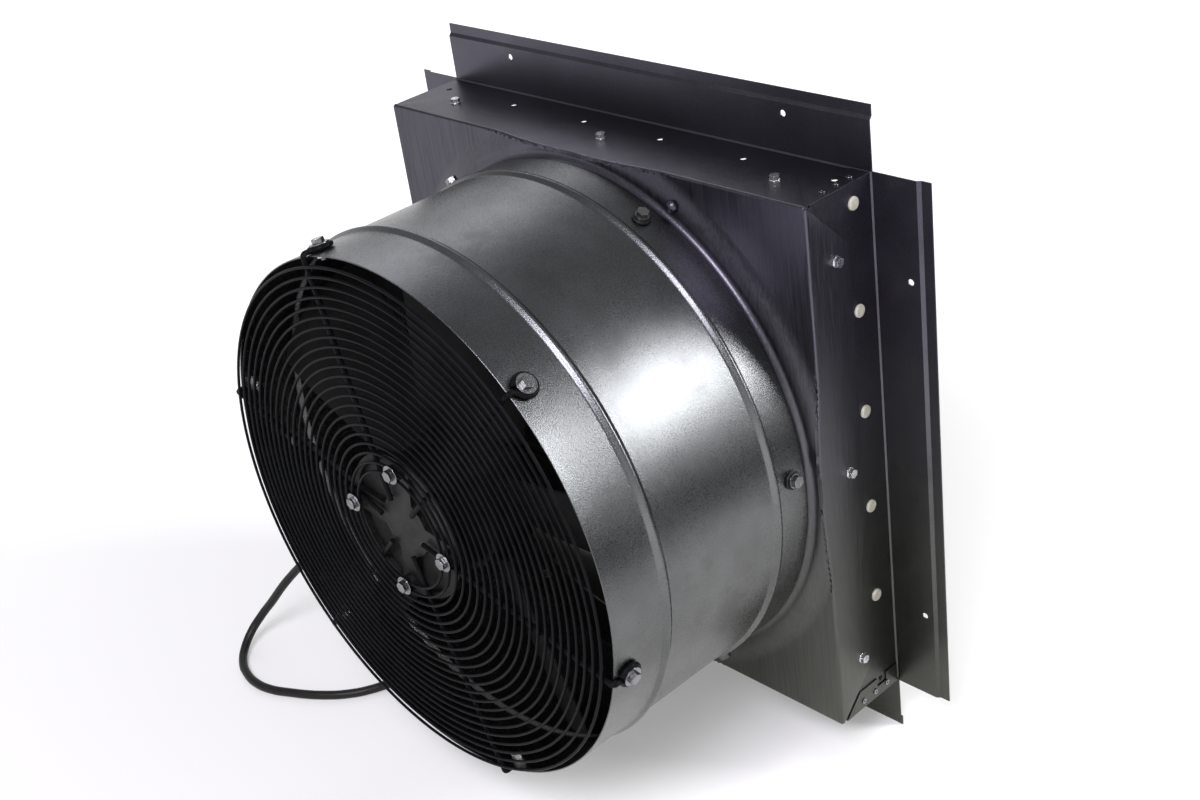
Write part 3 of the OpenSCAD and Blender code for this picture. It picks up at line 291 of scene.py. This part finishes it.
zincPlate = sheetMetal("zincPlate", {
    "dark": (0.66, 0.67, 0.68), "light": (0.84, 0.85, 0.86), "bright": (0.95, 0.95, 0.95), "speck": 0.3,
    "smudge": 0.4, "smudgeColor": (0.4, 0.4, 0.4), "grainScale": 1500.0, "cloudScale": 120.0,
    "smudgeScale": 160.0, "rough": 0.16, "roughSpread": 0.1, "bump": 0.15})
# Painted shade: the same zinc as zincPlate in darker colours, for the bolts, washers, screws and rivets that
# reflect darker surroundings
shadedZinc = sheetMetal("shadedZinc", {
    "dark": (0.14, 0.145, 0.15), "light": (0.22, 0.225, 0.23), "bright": (0.45, 0.45, 0.45), "speck": 0.3,
    "smudge": 0.4, "smudgeColor": (0.1, 0.1, 0.1), "grainScale": 1500.0, "cloudScale": 120.0,
    "smudgeScale": 160.0, "rough": 0.16, "roughSpread": 0.1, "bump": 0.15})
groundSteel = sheetMetal("groundSteel", {
    "dark": (0.42, 0.43, 0.44), "light": (0.6, 0.61, 0.62), "bright": (0.8, 0.8, 0.8), "speck": 0.3,
    "smudge": 0.3, "smudgeColor": (0.25, 0.25, 0.25), "grainScale": 1200.0, "cloudScale": 60.0,
    "smudgeScale": 90.0, "rough": 0.2, "roughSpread": 0.1, "bump": 0.15, "stretch": (0.1, 1, 1)})
louvreSheet = sheetMetal("louvreSheet", {
    "dark": (0.3, 0.305, 0.31), "light": (0.42, 0.425, 0.43), "bright": (0.6, 0.6, 0.61), "speck": 0.35,
    "smudge": 0.3, "smudgeColor": (0.2, 0.2, 0.2), "grainScale": 700.0, "cloudScale": 5.0,
    "smudgeScale": 20.0, "rough": 0.32, "roughSpread": 0.1, "bump": 0.25, "stretch": (0.05, 1, 1),
    "lap": lapSet})
castAluminium = sheetMetal("castAluminium", {
    "dark": (0.014, 0.015, 0.014), "light": (0.034, 0.034, 0.033), "bright": (0.09, 0.09, 0.09),
    "speck": 0.4, "smudge": 0.6, "smudgeColor": (0.014, 0.014, 0.014), "grainScale": 900.0,
    "cloudScale": 34.0, "smudgeScale": 55.0, "rough": 0.45, "roughSpread": 0.2, "bump": 0.7})
coreSteel = sheetMetal("coreSteel", {
    "dark": (0.1, 0.1, 0.1), "light": (0.16, 0.16, 0.165), "bright": (0.25, 0.25, 0.25), "speck": 0.4,
    "smudge": 0.5, "smudgeColor": (0.06, 0.05, 0.05), "grainScale": 900.0, "cloudScale": 30.0,
    "smudgeScale": 60.0, "rough": 0.42, "roughSpread": 0.2, "bump": 0.5, "stretch": (1, 8, 1)})
copperWire = sheetMetal("copperWire", {
    "dark": (0.32, 0.13, 0.06), "light": (0.45, 0.19, 0.09), "bright": (0.7, 0.35, 0.2), "speck": 0.5,
    "smudge": 0.4, "smudgeColor": (0.2, 0.08, 0.04), "grainScale": 600.0, "cloudScale": 50.0,
    "smudgeScale": 70.0, "rough": 0.35, "roughSpread": 0.15, "bump": 0.8})
plugBrass = sheetMetal("plugBrass", {
    "dark": (0.5, 0.42, 0.24), "light": (0.66, 0.57, 0.34), "bright": (0.85, 0.78, 0.55), "speck": 0.25,
    "smudge": 0.3, "smudgeColor": (0.3, 0.25, 0.14), "grainScale": 1500.0, "cloudScale": 120.0,
    "smudgeScale": 160.0, "rough": 0.2, "roughSpread": 0.1, "bump": 0.15})
glossBlack = coated("glossBlack", {
    "dark": (0.004, 0.004, 0.005), "light": (0.007, 0.007, 0.008), "grainScale": 500.0, "cloudScale": 30.0,
    "rough": 0.3, "roughSpread": 0.1, "bump": 0.1, "specular": 0.04})
satinBlack = coated("satinBlack", {
    "dark": (0.006, 0.006, 0.006), "light": (0.012, 0.012, 0.012), "grainScale": 700.0, "cloudScale": 14.0,
    "rough": 0.4, "roughSpread": 0.14, "bump": 0.25, "dust": 0.1, "dustColor": (0.02, 0.02, 0.02),
    "specular": 0.06})
blackRubber = coated("blackRubber", {
    "dark": (0.006, 0.006, 0.006), "light": (0.012, 0.012, 0.012), "grainScale": 900.0, "cloudScale": 60.0,
    "rough": 0.4, "roughSpread": 0.12, "bump": 0.3, "specular": 0.3})
blackPlastic = coated("blackPlastic", {
    "dark": (0.01, 0.01, 0.01), "light": (0.018, 0.018, 0.018), "grainScale": 1400.0, "cloudScale": 40.0,
    "rough": 0.38, "roughSpread": 0.1, "bump": 0.5})
creamNylon = coated("creamNylon", {
    "dark": (0.4, 0.39, 0.32), "light": (0.52, 0.51, 0.43), "grainScale": 500.0, "cloudScale": 90.0,
    "rough": 0.3, "roughSpread": 0.1, "bump": 0.1, "dust": 0.15, "dustColor": (0.3, 0.29, 0.23)})
greyPlastic = coated("greyPlastic", {
    "dark": (0.4, 0.4, 0.38), "light": (0.5, 0.5, 0.48), "grainScale": 900.0, "cloudScale": 50.0,
    "rough": 0.35, "roughSpread": 0.1, "bump": 0.2})
print("materials made")


# Mesh helpers. Edges that turn by more than the angle, in degrees, are sharp
edgeSet = {"angle": 35.0, "dissolve": 1.0, "segments": 2, "normalWeight": 100}
quarterTurn = [math.radians(15 * k) for k in range(7)]


def finishMesh(bm, name, material, body, nodes, angle):
    bmesh.ops.recalc_face_normals(bm, faces=bm.faces)
    mesh = bpy.data.meshes.new(name)
    bm.to_mesh(mesh)
    bm.free()
    return placeMesh(mesh, name, material, body, nodes, angle)


def placeMesh(mesh, name, material, body, nodes, angle):
    mesh.materials.clear()
    mesh.materials.append(material)
    for polygon in mesh.polygons:
        polygon.use_smooth = True
    mesh.set_sharp_from_angle(angle=math.radians(angle))
    piece = bpy.data.objects.new(name, mesh)
    bpy.context.scene.collection.objects.link(piece)
    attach(piece, body)
    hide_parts(*nodes)
    return piece


# Flat faces keep their own normals beside rounded edges
def steadyNormals(piece):
    weighted = piece.modifiers.new("normals", "WEIGHTED_NORMAL")
    weighted.keep_sharp = True
    weighted.weight = edgeSet["normalWeight"]


def addBevel(piece, width):
    bevel = piece.modifiers.new("edges", "BEVEL")
    bevel.width = width
    bevel.segments = edgeSet["segments"]
    bevel.limit_method = "ANGLE"
    bevel.angle_limit = math.radians(edgeSet["angle"])
    bevel.use_clamp_overlap = True
    steadyNormals(piece)


# Outlines of (radius, y) points turned round the fan's axis
def turned(bm, outlines, steps, closed=True):
    profile = []
    for outline in outlines:
        verts = [bm.verts.new((r, y, 0)) for r, y in outline]
        pairs = list(zip(verts, verts[1:])) + ([(verts[-1], verts[0])] if closed else [])
        profile += verts + [bm.edges.new(pair) for pair in pairs]
    bmesh.ops.spin(bm, geom=profile, cent=(0, 0, 0), axis=(0, 1, 0), dvec=(0, 0, 0), angle=2 * math.pi,
                   steps=steps, use_merge=True, use_duplicate=False)


def roundCurve(name, radius, roundness, smoothness):
    curve = bpy.data.curves.new(name, "CURVE")
    curve.dimensions = "3D"
    curve.bevel_depth = radius
    curve.bevel_resolution = roundness
    curve.resolution_u = smoothness
    curve.use_fill_caps = True
    return curve


# Round wires along their points, as one mesh with closed ends
def wireMesh(paths, radius, roundness):
    curve = roundCurve("wire", radius, roundness, 1)
    for path in paths:
        spline = curve.splines.new("POLY")
        spline.points.add(len(path) - 1)
        for point, place in zip(spline.points, path):
            point.co = (*place, 1)
    holder = bpy.data.objects.new("wireHolder", curve)
    bpy.context.scene.collection.objects.link(holder)
    graph = bpy.context.evaluated_depsgraph_get()
    mesh = bpy.data.meshes.new_from_object(holder.evaluated_get(graph))
    bpy.data.objects.remove(holder)
    bpy.data.curves.remove(curve)
    return mesh


# Power cord: free stretch, then its coil, as one curve
cordSet = {
    "diameter": 0.0095,
    "coilCentre": (-0.09, -0.15),
    "coilRadius": 0.06,
    "coilPitch": 0.0104,
    "coilLayer": 0.0101,
    "coilExit": 0.026,
    "climb": 0.25,
    "turns": 4,
    "pointsPerTurn": 24,
    "roundness": 4,
    "smoothness": 4,
    "lift": 0.0012,
}
cordSet["lowZ"] = fan["floorZ"] + cordSet["lift"] + cordSet["diameter"] / 2

# The route's points of the free stretch, in millimetres as in the part
cordRoute = [
    (-269, -262, -108), (-269, -262, -128), (-273, -262, -150), (-285, -263, -171), (-303, -266, -189),
    (-322, -271, -205), (-341, -279, -224), (-358, -290, -245), (-373, -299, -266), (-387, -310, -286),
    (-391, -325, -301), (-384, -342, -312), (-369, -355, -315.6), (-347, -364, -315.6),
    (-324, -367, -315.6), (-301, -363, -315.6), (-281, -354, -315.6), (-248, -335, -315.6),
    (-223, -313, -315.6), (-209, -292, -315.6), (-200, -270, -315.6), (-190, -250, -315.6),
    (-176.5, -231, -315.5), (-163.7, -212.7, -315.2), (-157.8, -201.6, -315), (-153.5, -189.8, -314.7),
    (-150.9, -177.5, -314.5), (-150, -165, -314.45),
]


# The coil winds inwards for half its turns, climbs onto itself and winds outwards. u counts turns
def coilPoint(u):
    turns = cordSet["turns"]
    low, high = turns / 2 - cordSet["climb"], turns / 2 + cordSet["climb"]
    if u < low:
        inward = u
    elif u > high:
        inward = turns - u
    else:
        inward = low + (u - low) - (u - low) ** 2 / (high - low)
    s = max(0.0, min(1.0, (u - low) / (high - low)))
    radius = cordSet["coilRadius"] - cordSet["coilPitch"] * inward
    angle = math.pi - 2 * math.pi * u
    x, y = cordSet["coilCentre"]
    return (x + radius * math.cos(angle), y + radius * math.sin(angle),
            cordSet["lowZ"] + cordSet["coilLayer"] * s * s * (3 - 2 * s))


def makeCord():
    count = cordSet["turns"] * cordSet["pointsPerTurn"]
    coil = [coilPoint(k / cordSet["pointsPerTurn"]) for k in range(count + 1)]
    lead = (coil[0][0], coil[0][1] - cordSet["diameter"], coil[0][2])
    tail = (coil[-1][0], coil[-1][1] + cordSet["coilExit"], coil[-1][2])
    points = [tuple(value * mm for value in p) for p in cordRoute] + [lead] + coil + [tail]
    length = sum((Vector(b) - Vector(a)).length for a, b in zip(points, points[1:]))
    curve = roundCurve("powerCord", cordSet["diameter"] / 2, cordSet["roundness"], cordSet["smoothness"])
    spline = curve.splines.new("BEZIER")
    spline.bezier_points.add(len(points) - 1)
    for point, place in zip(spline.bezier_points, points):
        point.co = place
        point.handle_left_type = point.handle_right_type = "AUTO"
    curve.materials.append(blackRubber)
    cord = bpy.data.objects.new("powerCord", curve)
    bpy.context.scene.collection.objects.link(cord)
    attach(cord, "root")
    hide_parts("power_cord", "cord_coil")
    return cord, length


powerCord, cordLength = makeCord()
print("cord length", round(cordLength, 4))


# A CAD node's own mesh, merged, with its edges rounded a little
def refined(node, material, width):
    bm = bmesh.new()
    bm.from_mesh(cadNodes[node].data)
    bmesh.ops.remove_doubles(bm, verts=bm.verts, dist=near["cadMerge"])
    flat = math.radians(edgeSet["dissolve"])
    bmesh.ops.dissolve_limit(bm, angle_limit=flat, verts=bm.verts, edges=bm.edges)
    mesh = bpy.data.meshes.new(node)
    bm.to_mesh(mesh)
    bm.free()
    piece = placeMesh(mesh, "piece_" + node, material, pieceBody[node], [node], edgeSet["angle"])
    if width:
        addBevel(piece, width)
    return piece


# Duct tube with its rolled beads and stepped band
tubeSet = {
    "frontBead": -0.273, "rearBead": -0.134, "beadHeight": 0.0035, "beadWidth": 0.012, "bandStep": 0.0026,
    "beadSteps": 14, "turns": 288, "hem": 0.0008, "hemAngles": (120, 60), "sharp": 40.0,
}


def tubeOut(y):
    rise, width = fan["tubeRadius"], tubeSet["beadWidth"]
    for centre in (tubeSet["frontBead"], tubeSet["rearBead"]):
        if abs(y - centre) < width / 2:
            bump = tubeSet["beadHeight"] * (1 + math.cos(2 * math.pi * (y - centre) / width)) / 2
            rise = max(rise, fan["tubeRadius"] + bump)
    if y > tubeSet["rearBead"]:
        rise = max(rise, fan["tubeRadius"] + tubeSet["bandStep"])
    return rise


def makeTube():
    half = tubeSet["beadWidth"] / 2
    ys = [fan["rimY"] + tubeSet["hem"] / 2]
    for centre in (tubeSet["frontBead"], tubeSet["rearBead"]):
        ys += [centre + half * (2 * k / tubeSet["beadSteps"] - 1) for k in range(tubeSet["beadSteps"] + 1)]
    ys.append(fan["tubeEndY"])
    outer = [(tubeOut(y), y) for y in ys]
    rim = [(fan["tubeRadius"] - fan["sheet"] / 2 + math.cos(a) * fan["sheet"] / 2,
            fan["rimY"] + tubeSet["hem"] / 2 - math.sin(a) * tubeSet["hem"] / 2)
           for a in map(math.radians, tubeSet["hemAngles"])]
    inner = [(r - fan["sheet"], y) for r, y in reversed(outer)]
    bm = bmesh.new()
    turned(bm, [outer + inner + rim], tubeSet["turns"])
    bmesh.ops.remove_doubles(bm, verts=bm.verts, dist=near["merge"])
    finishMesh(bm, "ductTube", tubeSteel, "root", ["duct_tube"], tubeSet["sharp"])


makeTube()


# Fan panel: neck, flare and face turned in one, cut square, with folded skirts
panelSet = {
    "neckRadius": 0.2552, "neckFront": -0.126, "foldRadius": 0.006, "flareWidth": 0.0256, "reach": 0.385,
    "skirtY": -0.034, "edgeRadius": 0.0022, "edgeSteps": 6, "foldAngle": 50, "sharp": 40.0,
    "relief": 0.0023, "reliefZone": 0.0092, "turns": 288, "flareSteps": 24,
}


def panelProfile():
    neck, fold, face = panelSet["neckRadius"], panelSet["foldRadius"], fan["faceY"]
    foot = neck + fold
    line = [(neck, panelSet["neckFront"])]
    line += [(foot - fold * math.cos(a), face - 2 * fold + fold * math.sin(a)) for a in quarterTurn]
    for k in range(1, panelSet["flareSteps"] + 1):
        s = k / panelSet["flareSteps"]
        line.append((foot + panelSet["flareWidth"] * s, face - fold * (1 + math.cos(math.pi * s)) / 2))
    line.append((panelSet["reach"], face))
    return line


def onWall(vert, wall):
    return abs((vert.co - Vector(wall[0])).dot(Vector(wall[1]))) < near["wall"]


def inCorner(place, zone):
    return abs(place.x) > fan["sideX"] - zone and abs(place.z) > fan["topZ"] - zone


def withRims(faces):
    return list({v for f in faces for v in f.verts} | {e for f in faces for e in f.edges} | set(faces))


# A small square relief at each corner of the blank, where two folds meet
def notchCorners(bm, walls):
    relief, zone = panelSet["relief"], panelSet["reliefZone"]
    for place, normal in walls:
        cut = Vector(place) - Vector(normal) * relief
        corner = [f for f in bm.faces if any(inCorner(v.co, zone) for v in f.verts)]
        bmesh.ops.bisect_plane(bm, geom=withRims(corner), dist=near["cut"], plane_co=cut, plane_no=normal)
    gone = [f for f in bm.faces if inCorner(f.calc_center_median(), relief)]
    bmesh.ops.delete(bm, geom=gone, context="FACES")


# The sheet's flats stay flat up to the rounded folds and the flare
def foldBorders(mesh):
    flats = {p.index for p in mesh.polygons if max(abs(c) for c in p.normal) > near["flat"]}
    sides = {}
    for polygon in mesh.polygons:
        for key in polygon.edge_keys:
            sides.setdefault(key, []).append(polygon.index)
    for edge in mesh.edges:
        around = sides.get(edge.key, [])
        if len(around) == 2 and (around[0] in flats) != (around[1] in flats):
            edge.use_edge_sharp = True


def makePanel():
    bm = bmesh.new()
    turned(bm, [panelProfile()], panelSet["turns"], closed=False)
    bmesh.ops.remove_doubles(bm, verts=bm.verts, dist=near["merge"])
    walls = [((fan["sideX"], 0, 0), (1, 0, 0)), ((-fan["sideX"], 0, 0), (-1, 0, 0)),
             ((0, 0, fan["topZ"]), (0, 0, 1)), ((0, 0, -fan["topZ"]), (0, 0, -1))]
    for place, normal in walls:
        bmesh.ops.bisect_plane(bm, geom=bm.verts[:] + bm.edges[:] + bm.faces[:], dist=near["cut"],
                               plane_co=place, plane_no=normal, clear_outer=True)
    notchCorners(bm, walls)
    outline = [e for e in bm.edges
               if e.is_boundary and any(all(onWall(v, wall) for v in e.verts) for wall in walls)]
    grown = bmesh.ops.extrude_edge_only(bm, edges=outline)["geom"]
    for vert in [g for g in grown if isinstance(g, bmesh.types.BMVert)]:
        vert.co.y = panelSet["skirtY"]
    bm.normal_update()
    for place, normal in walls:
        across, along, reach = (0, 2, fan["topZ"]) if normal[0] else (2, 0, fan["sideX"])
        for side in (-1, 1):
            skirt = [f for f in bm.faces if all(onWall(v, (place, normal)) for v in f.verts)]
            cut = [0, 1, 0]
            cut[along] = side
            corner = [0, fan["faceY"], 0]
            corner[along] = side * reach
            corner[across] = place[across]
            bmesh.ops.bisect_plane(bm, geom=withRims(skirt), dist=near["cut"], plane_co=corner,
                                   plane_no=cut, clear_outer=True)
    bmesh.ops.recalc_face_normals(bm, faces=bm.faces)
    bm.normal_update()
    least = math.radians(panelSet["foldAngle"])
    folds = [e for e in bm.edges if len(e.link_faces) == 2 and e.calc_face_angle() > least]
    bmesh.ops.bevel(bm, geom=folds, offset=panelSet["edgeRadius"], offset_type="OFFSET",
                    segments=panelSet["edgeSteps"], profile=0.5, affect="EDGES", material=-1)
    piece = finishMesh(bm, "fanPanel", panelSteel, "root", ["fan_panel"], panelSet["sharp"])
    foldBorders(piece.data)
    sheet = piece.modifiers.new("sheet", "SOLIDIFY")
    sheet.thickness = fan["sheet"]
    sheet.offset = -1
    steadyNormals(piece)


makePanel()
print("tube and panel made")

# Guard of round wire: rings in front of six ribs that bend over the rim to an eye
guardSet = {
    "ribWire": 0.005, "ringWire": 0.0028, "ringPitch": 0.009, "ringCount": 22, "ringEdge": 0.0073,
    "dome": 0.007, "firstRib": 43.4, "ribs": 6, "ribStops": (0.028, 0.1, 0.18, 0.24), "stand": 0.0028,
    "eyeRadius": 0.0095, "eyeIn": 0.016, "eyeNeck": 0.004, "eyeGap": 20, "eyeSteps": 24, "weldGap": 0.00005,
    "turns": 180, "sides": 12, "ribRoundness": 4, "sharp": 60.0,
}


def ribY(r):
    slope = guardSet["dome"] / (fan["tubeRadius"] - guardSet["ribStops"][0])
    return fan["rimY"] - guardSet["stand"] - (fan["tubeRadius"] - r) * slope


def makeRings():
    wire = guardSet["ringWire"] / 2
    angles = [2 * math.pi * k / guardSet["sides"] for k in range(guardSet["sides"])]
    outlines = []
    for j in range(guardSet["ringCount"]):
        r = fan["tubeRadius"] - guardSet["ringEdge"] - j * guardSet["ringPitch"]
        y = ribY(r) - guardSet["ribWire"] / 2 - wire - guardSet["weldGap"]
        outlines.append([(r + wire * math.cos(a), y + wire * math.sin(a)) for a in angles])
    bm = bmesh.new()
    turned(bm, outlines, guardSet["turns"])
    bmesh.ops.remove_doubles(bm, verts=bm.verts, dist=near["merge"])
    finishMesh(bm, "guardRings", glossBlack, "root", ["guard_rings"], guardSet["sharp"])


def ribPath(turn):
    radial = Vector((math.sin(turn), 0, math.cos(turn)))
    side = Vector((math.cos(turn), 0, -math.sin(turn)))
    axis = Vector((0, 1, 0))
    stand, edge = guardSet["stand"], fan["tubeRadius"]
    back = edge + stand
    path = [radial * r + axis * ribY(r) for r in guardSet["ribStops"]]
    path += [radial * (edge + stand * math.sin(a)) + axis * (fan["rimY"] - stand * math.cos(a))
             for a in quarterTurn]
    eye, loop, gap = fan["rimY"] + guardSet["eyeIn"], guardSet["eyeRadius"], guardSet["eyeGap"]
    path.append(radial * back + axis * (eye - loop - guardSet["eyeNeck"]))
    for k in range(guardSet["eyeSteps"] + 1):
        a = math.radians(gap + (360 - 2 * gap) * k / guardSet["eyeSteps"])
        path.append(radial * back + axis * (eye - loop * math.cos(a)) + side * (loop * math.sin(a)))
    return path


def makeRibs():
    turns = [math.radians(guardSet["firstRib"] + 360 * k / guardSet["ribs"]) for k in range(guardSet["ribs"])]
    mesh = wireMesh([ribPath(a) for a in turns], guardSet["ribWire"] / 2, guardSet["ribRoundness"])
    mesh.name = "guardRibs"
    placeMesh(mesh, "guardRibs", glossBlack, "root", ["guard_ribs"], guardSet["sharp"])


makeRings()
makeRibs()
print("guard made")

# Pieces that keep the part's own shape, with small rounded edges
keptShape = {
    "right_rail": (railSteel, 0.0004), "top_rail": (railSteel, 0.0004), "left_rail": (railSteel, 0.0004),
    "bottom_rail": (railSteel, 0.0004), "face_rivet": (panelSteel, 0.0002),
    "collar_bolts": (shadedZinc, 0.0004), "collar_nuts": (zincPlate, 0.0003),
    "guard_bolts": (shadedZinc, 0.0004), "guard_washers": (shadedZinc, 0.0002),
    "guard_nuts": (zincPlate, 0.0003), "motor_screws": (shadedZinc, 0.0004),
    "motor_washers": (shadedZinc, 0.0003), "panel_screws": (zincPlate, 0.0003),
    "corner_rivets": (shadedZinc, 0.0002), "lid_screws": (zincPlate, 0.0002), "tie_bar": (zincPlate, 0.0002),
    "motor_flange": (castAluminium, 0.0006), "rotor_shell": (satinBlack, 0.0008),
    "hub_ring": (satinBlack, 0.0005), "stator_core": (coreSteel, 0), "stator_windings": (copperWire, 0.001),
    "front_bearing": (groundSteel, 0.0003), "rear_bearing": (groundSteel, 0.0003),
    "motor_shaft": (groundSteel, 0.0004), "tie_pins": (groundSteel, 0.0002),
    "pivot_bushings": (creamNylon, 0.0004), "collar_washers": (blackRubber, 0.0005),
    "motor_lead": (blackRubber, 0), "terminal_box": (blackPlastic, 0.0006),
    "terminal_lid": (blackPlastic, 0.0008), "cable_gland": (blackPlastic, 0.0005),
    "strain_boot": (blackRubber, 0.0004), "lead_ties": (blackPlastic, 0.0002),
    "coil_tie": (blackRubber, 0.0002), "run_capacitor": (greyPlastic, 0.0006),
    "plug_body": (blackRubber, 0.001), "plug_pins": (plugBrass, 0.0003),
}
for n in range(1, fan["setCount"] + 1):
    keptShape[f"blade_{n}"] = (satinBlack, 0.0004)
    keptShape[f"louvre_{n}"] = (louvreSheet, 0.0006)
    keptShape[f"pivot_rod_{n}"] = (groundSteel, 0.0003)
keptPieces = {node: refined(node, material, width) for node, (material, width) in keptShape.items()}
print("kept pieces dressed:", len(keptPieces))

# Floor, world and lamps
stageSet = {
    "floorSize": 90.0, "floorDrop": 0.0004, "floorColor": (0.74, 0.74, 0.74), "floorGlow": (0.26, 0.78),
    "glowSpan": (0.5, 2.2), "worldLevel": (1.0, 0.4), "worldSpan": (0.1, 0.32), "cardRough": 0.9,
    "lamps": [
        {"name": "backRight", "place": (2.05, 1.45, 1.25), "aim": (0.15, -0.2, 0.1),
         "size": (0.9, 1.0), "power": 58, "color": (1, 1, 1)},
        {"name": "backLeft", "place": (-1.62, 0.92, 1.65), "aim": (0, -0.2, 0),
         "size": (1.1, 1.0), "power": 6.5, "color": (0.96, 0.96, 1)},
        {"name": "frontRight", "place": (1.0, -1.64, 1.8), "aim": (0.1, -0.15, 0.1),
         "size": (1.0, 0.9), "power": 55, "color": (0.95, 0.91, 1)},
    ],
    "flag": {"place": (0.9, 0.36, -0.14), "facing": -52, "size": (1.3, 0.36), "color": (0.015, 0.015, 0.015)},
}


def lightPathWhite(tree):
    path = addNode(tree, "ShaderNodeLightPath")
    seen = mathNode(tree, "MAXIMUM", path.outputs["Is Camera Ray"], path.outputs["Is Glossy Ray"])
    return mathNode(tree, "MAXIMUM", seen, path.outputs["Is Transmission Ray"])


# A square card of one dull colour, level at the given height
def stageCard(name, width, height, color):
    bm = bmesh.new()
    bmesh.ops.create_grid(bm, x_segments=1, y_segments=1, size=width / 2)
    bmesh.ops.translate(bm, verts=bm.verts, vec=(0, 0, height))
    mesh = bpy.data.meshes.new(name)
    bm.to_mesh(mesh)
    bm.free()
    card = bpy.data.objects.new(name, mesh)
    bpy.context.scene.collection.objects.link(card)
    material, tree, shader = startMaterial(name + "Paper")
    shader.inputs["Base Color"].default_value = (*color, 1)
    shader.inputs["Roughness"].default_value = stageSet["cardRough"]
    shader.inputs["Specular IOR Level"].default_value = 0.0
    mesh.materials.append(material)
    return card, tree, shader


def makeFloor():
    height = fan["floorZ"] - stageSet["floorDrop"]
    tree, shader = stageCard("floor", stageSet["floorSize"], height, stageSet["floorColor"])[1:]
    glow = addNode(tree, "ShaderNodeEmission")
    away = addNode(tree, "ShaderNodeVectorMath", operation="LENGTH")
    tree.links.new(addNode(tree, "ShaderNodeTexCoord").outputs["Object"], away.inputs[0])
    level = rangeNode(tree, away.outputs["Value"], *stageSet["glowSpan"], *stageSet["floorGlow"])
    tree.links.new(mathNode(tree, "MULTIPLY", lightPathWhite(tree), level), glow.inputs["Strength"])
    both = addNode(tree, "ShaderNodeAddShader")
    tree.links.new(shader.outputs[0], both.inputs[0])
    tree.links.new(glow.outputs[0], both.inputs[1])
    tree.links.new(both.outputs[0], tree.nodes["Material Output"].inputs["Surface"])


# A dark card beside the camera's view, as a studio's flag, that the sheet metal reflects
def makeFlag():
    look = stageSet["flag"]
    flag = stageCard("flag", 1.0, 0.0, look["color"])[0]
    flag.location = look["place"]
    flag.rotation_euler = (math.radians(90), 0, math.radians(look["facing"]))
    flag.scale = (look["size"][0], look["size"][1], 1)
    flag.visible_camera = flag.visible_shadow = flag.visible_diffuse = False


def makeWorld():
    world = bpy.data.worlds.new("studio")
    world.use_nodes = True
    bpy.context.scene.world = world
    tree = world.node_tree
    background = tree.nodes["Background"]
    background.inputs["Color"].default_value = (1, 1, 1, 1)
    level = rangeNode(tree, heightIn(tree, "Generated"), *stageSet["worldSpan"], *stageSet["worldLevel"])
    tree.links.new(level, background.inputs["Strength"])


def makeLamps():
    for lamp in stageSet["lamps"]:
        data = bpy.data.lights.new(lamp["name"], "AREA")
        data.shape = "RECTANGLE"
        data.size, data.size_y = lamp["size"]
        data.energy = lamp["power"]
        data.color = lamp["color"]
        light = bpy.data.objects.new(lamp["name"], data)
        light.location = lamp["place"]
        aim = Vector(lamp["aim"]) - Vector(lamp["place"])
        light.rotation_euler = aim.to_track_quat("-Z", "Y").to_euler()
        bpy.context.scene.collection.objects.link(light)


makeFloor()
makeFlag()
makeWorld()
makeLamps()
bpy.context.scene.view_settings.view_transform = "Standard"
print("stage made")
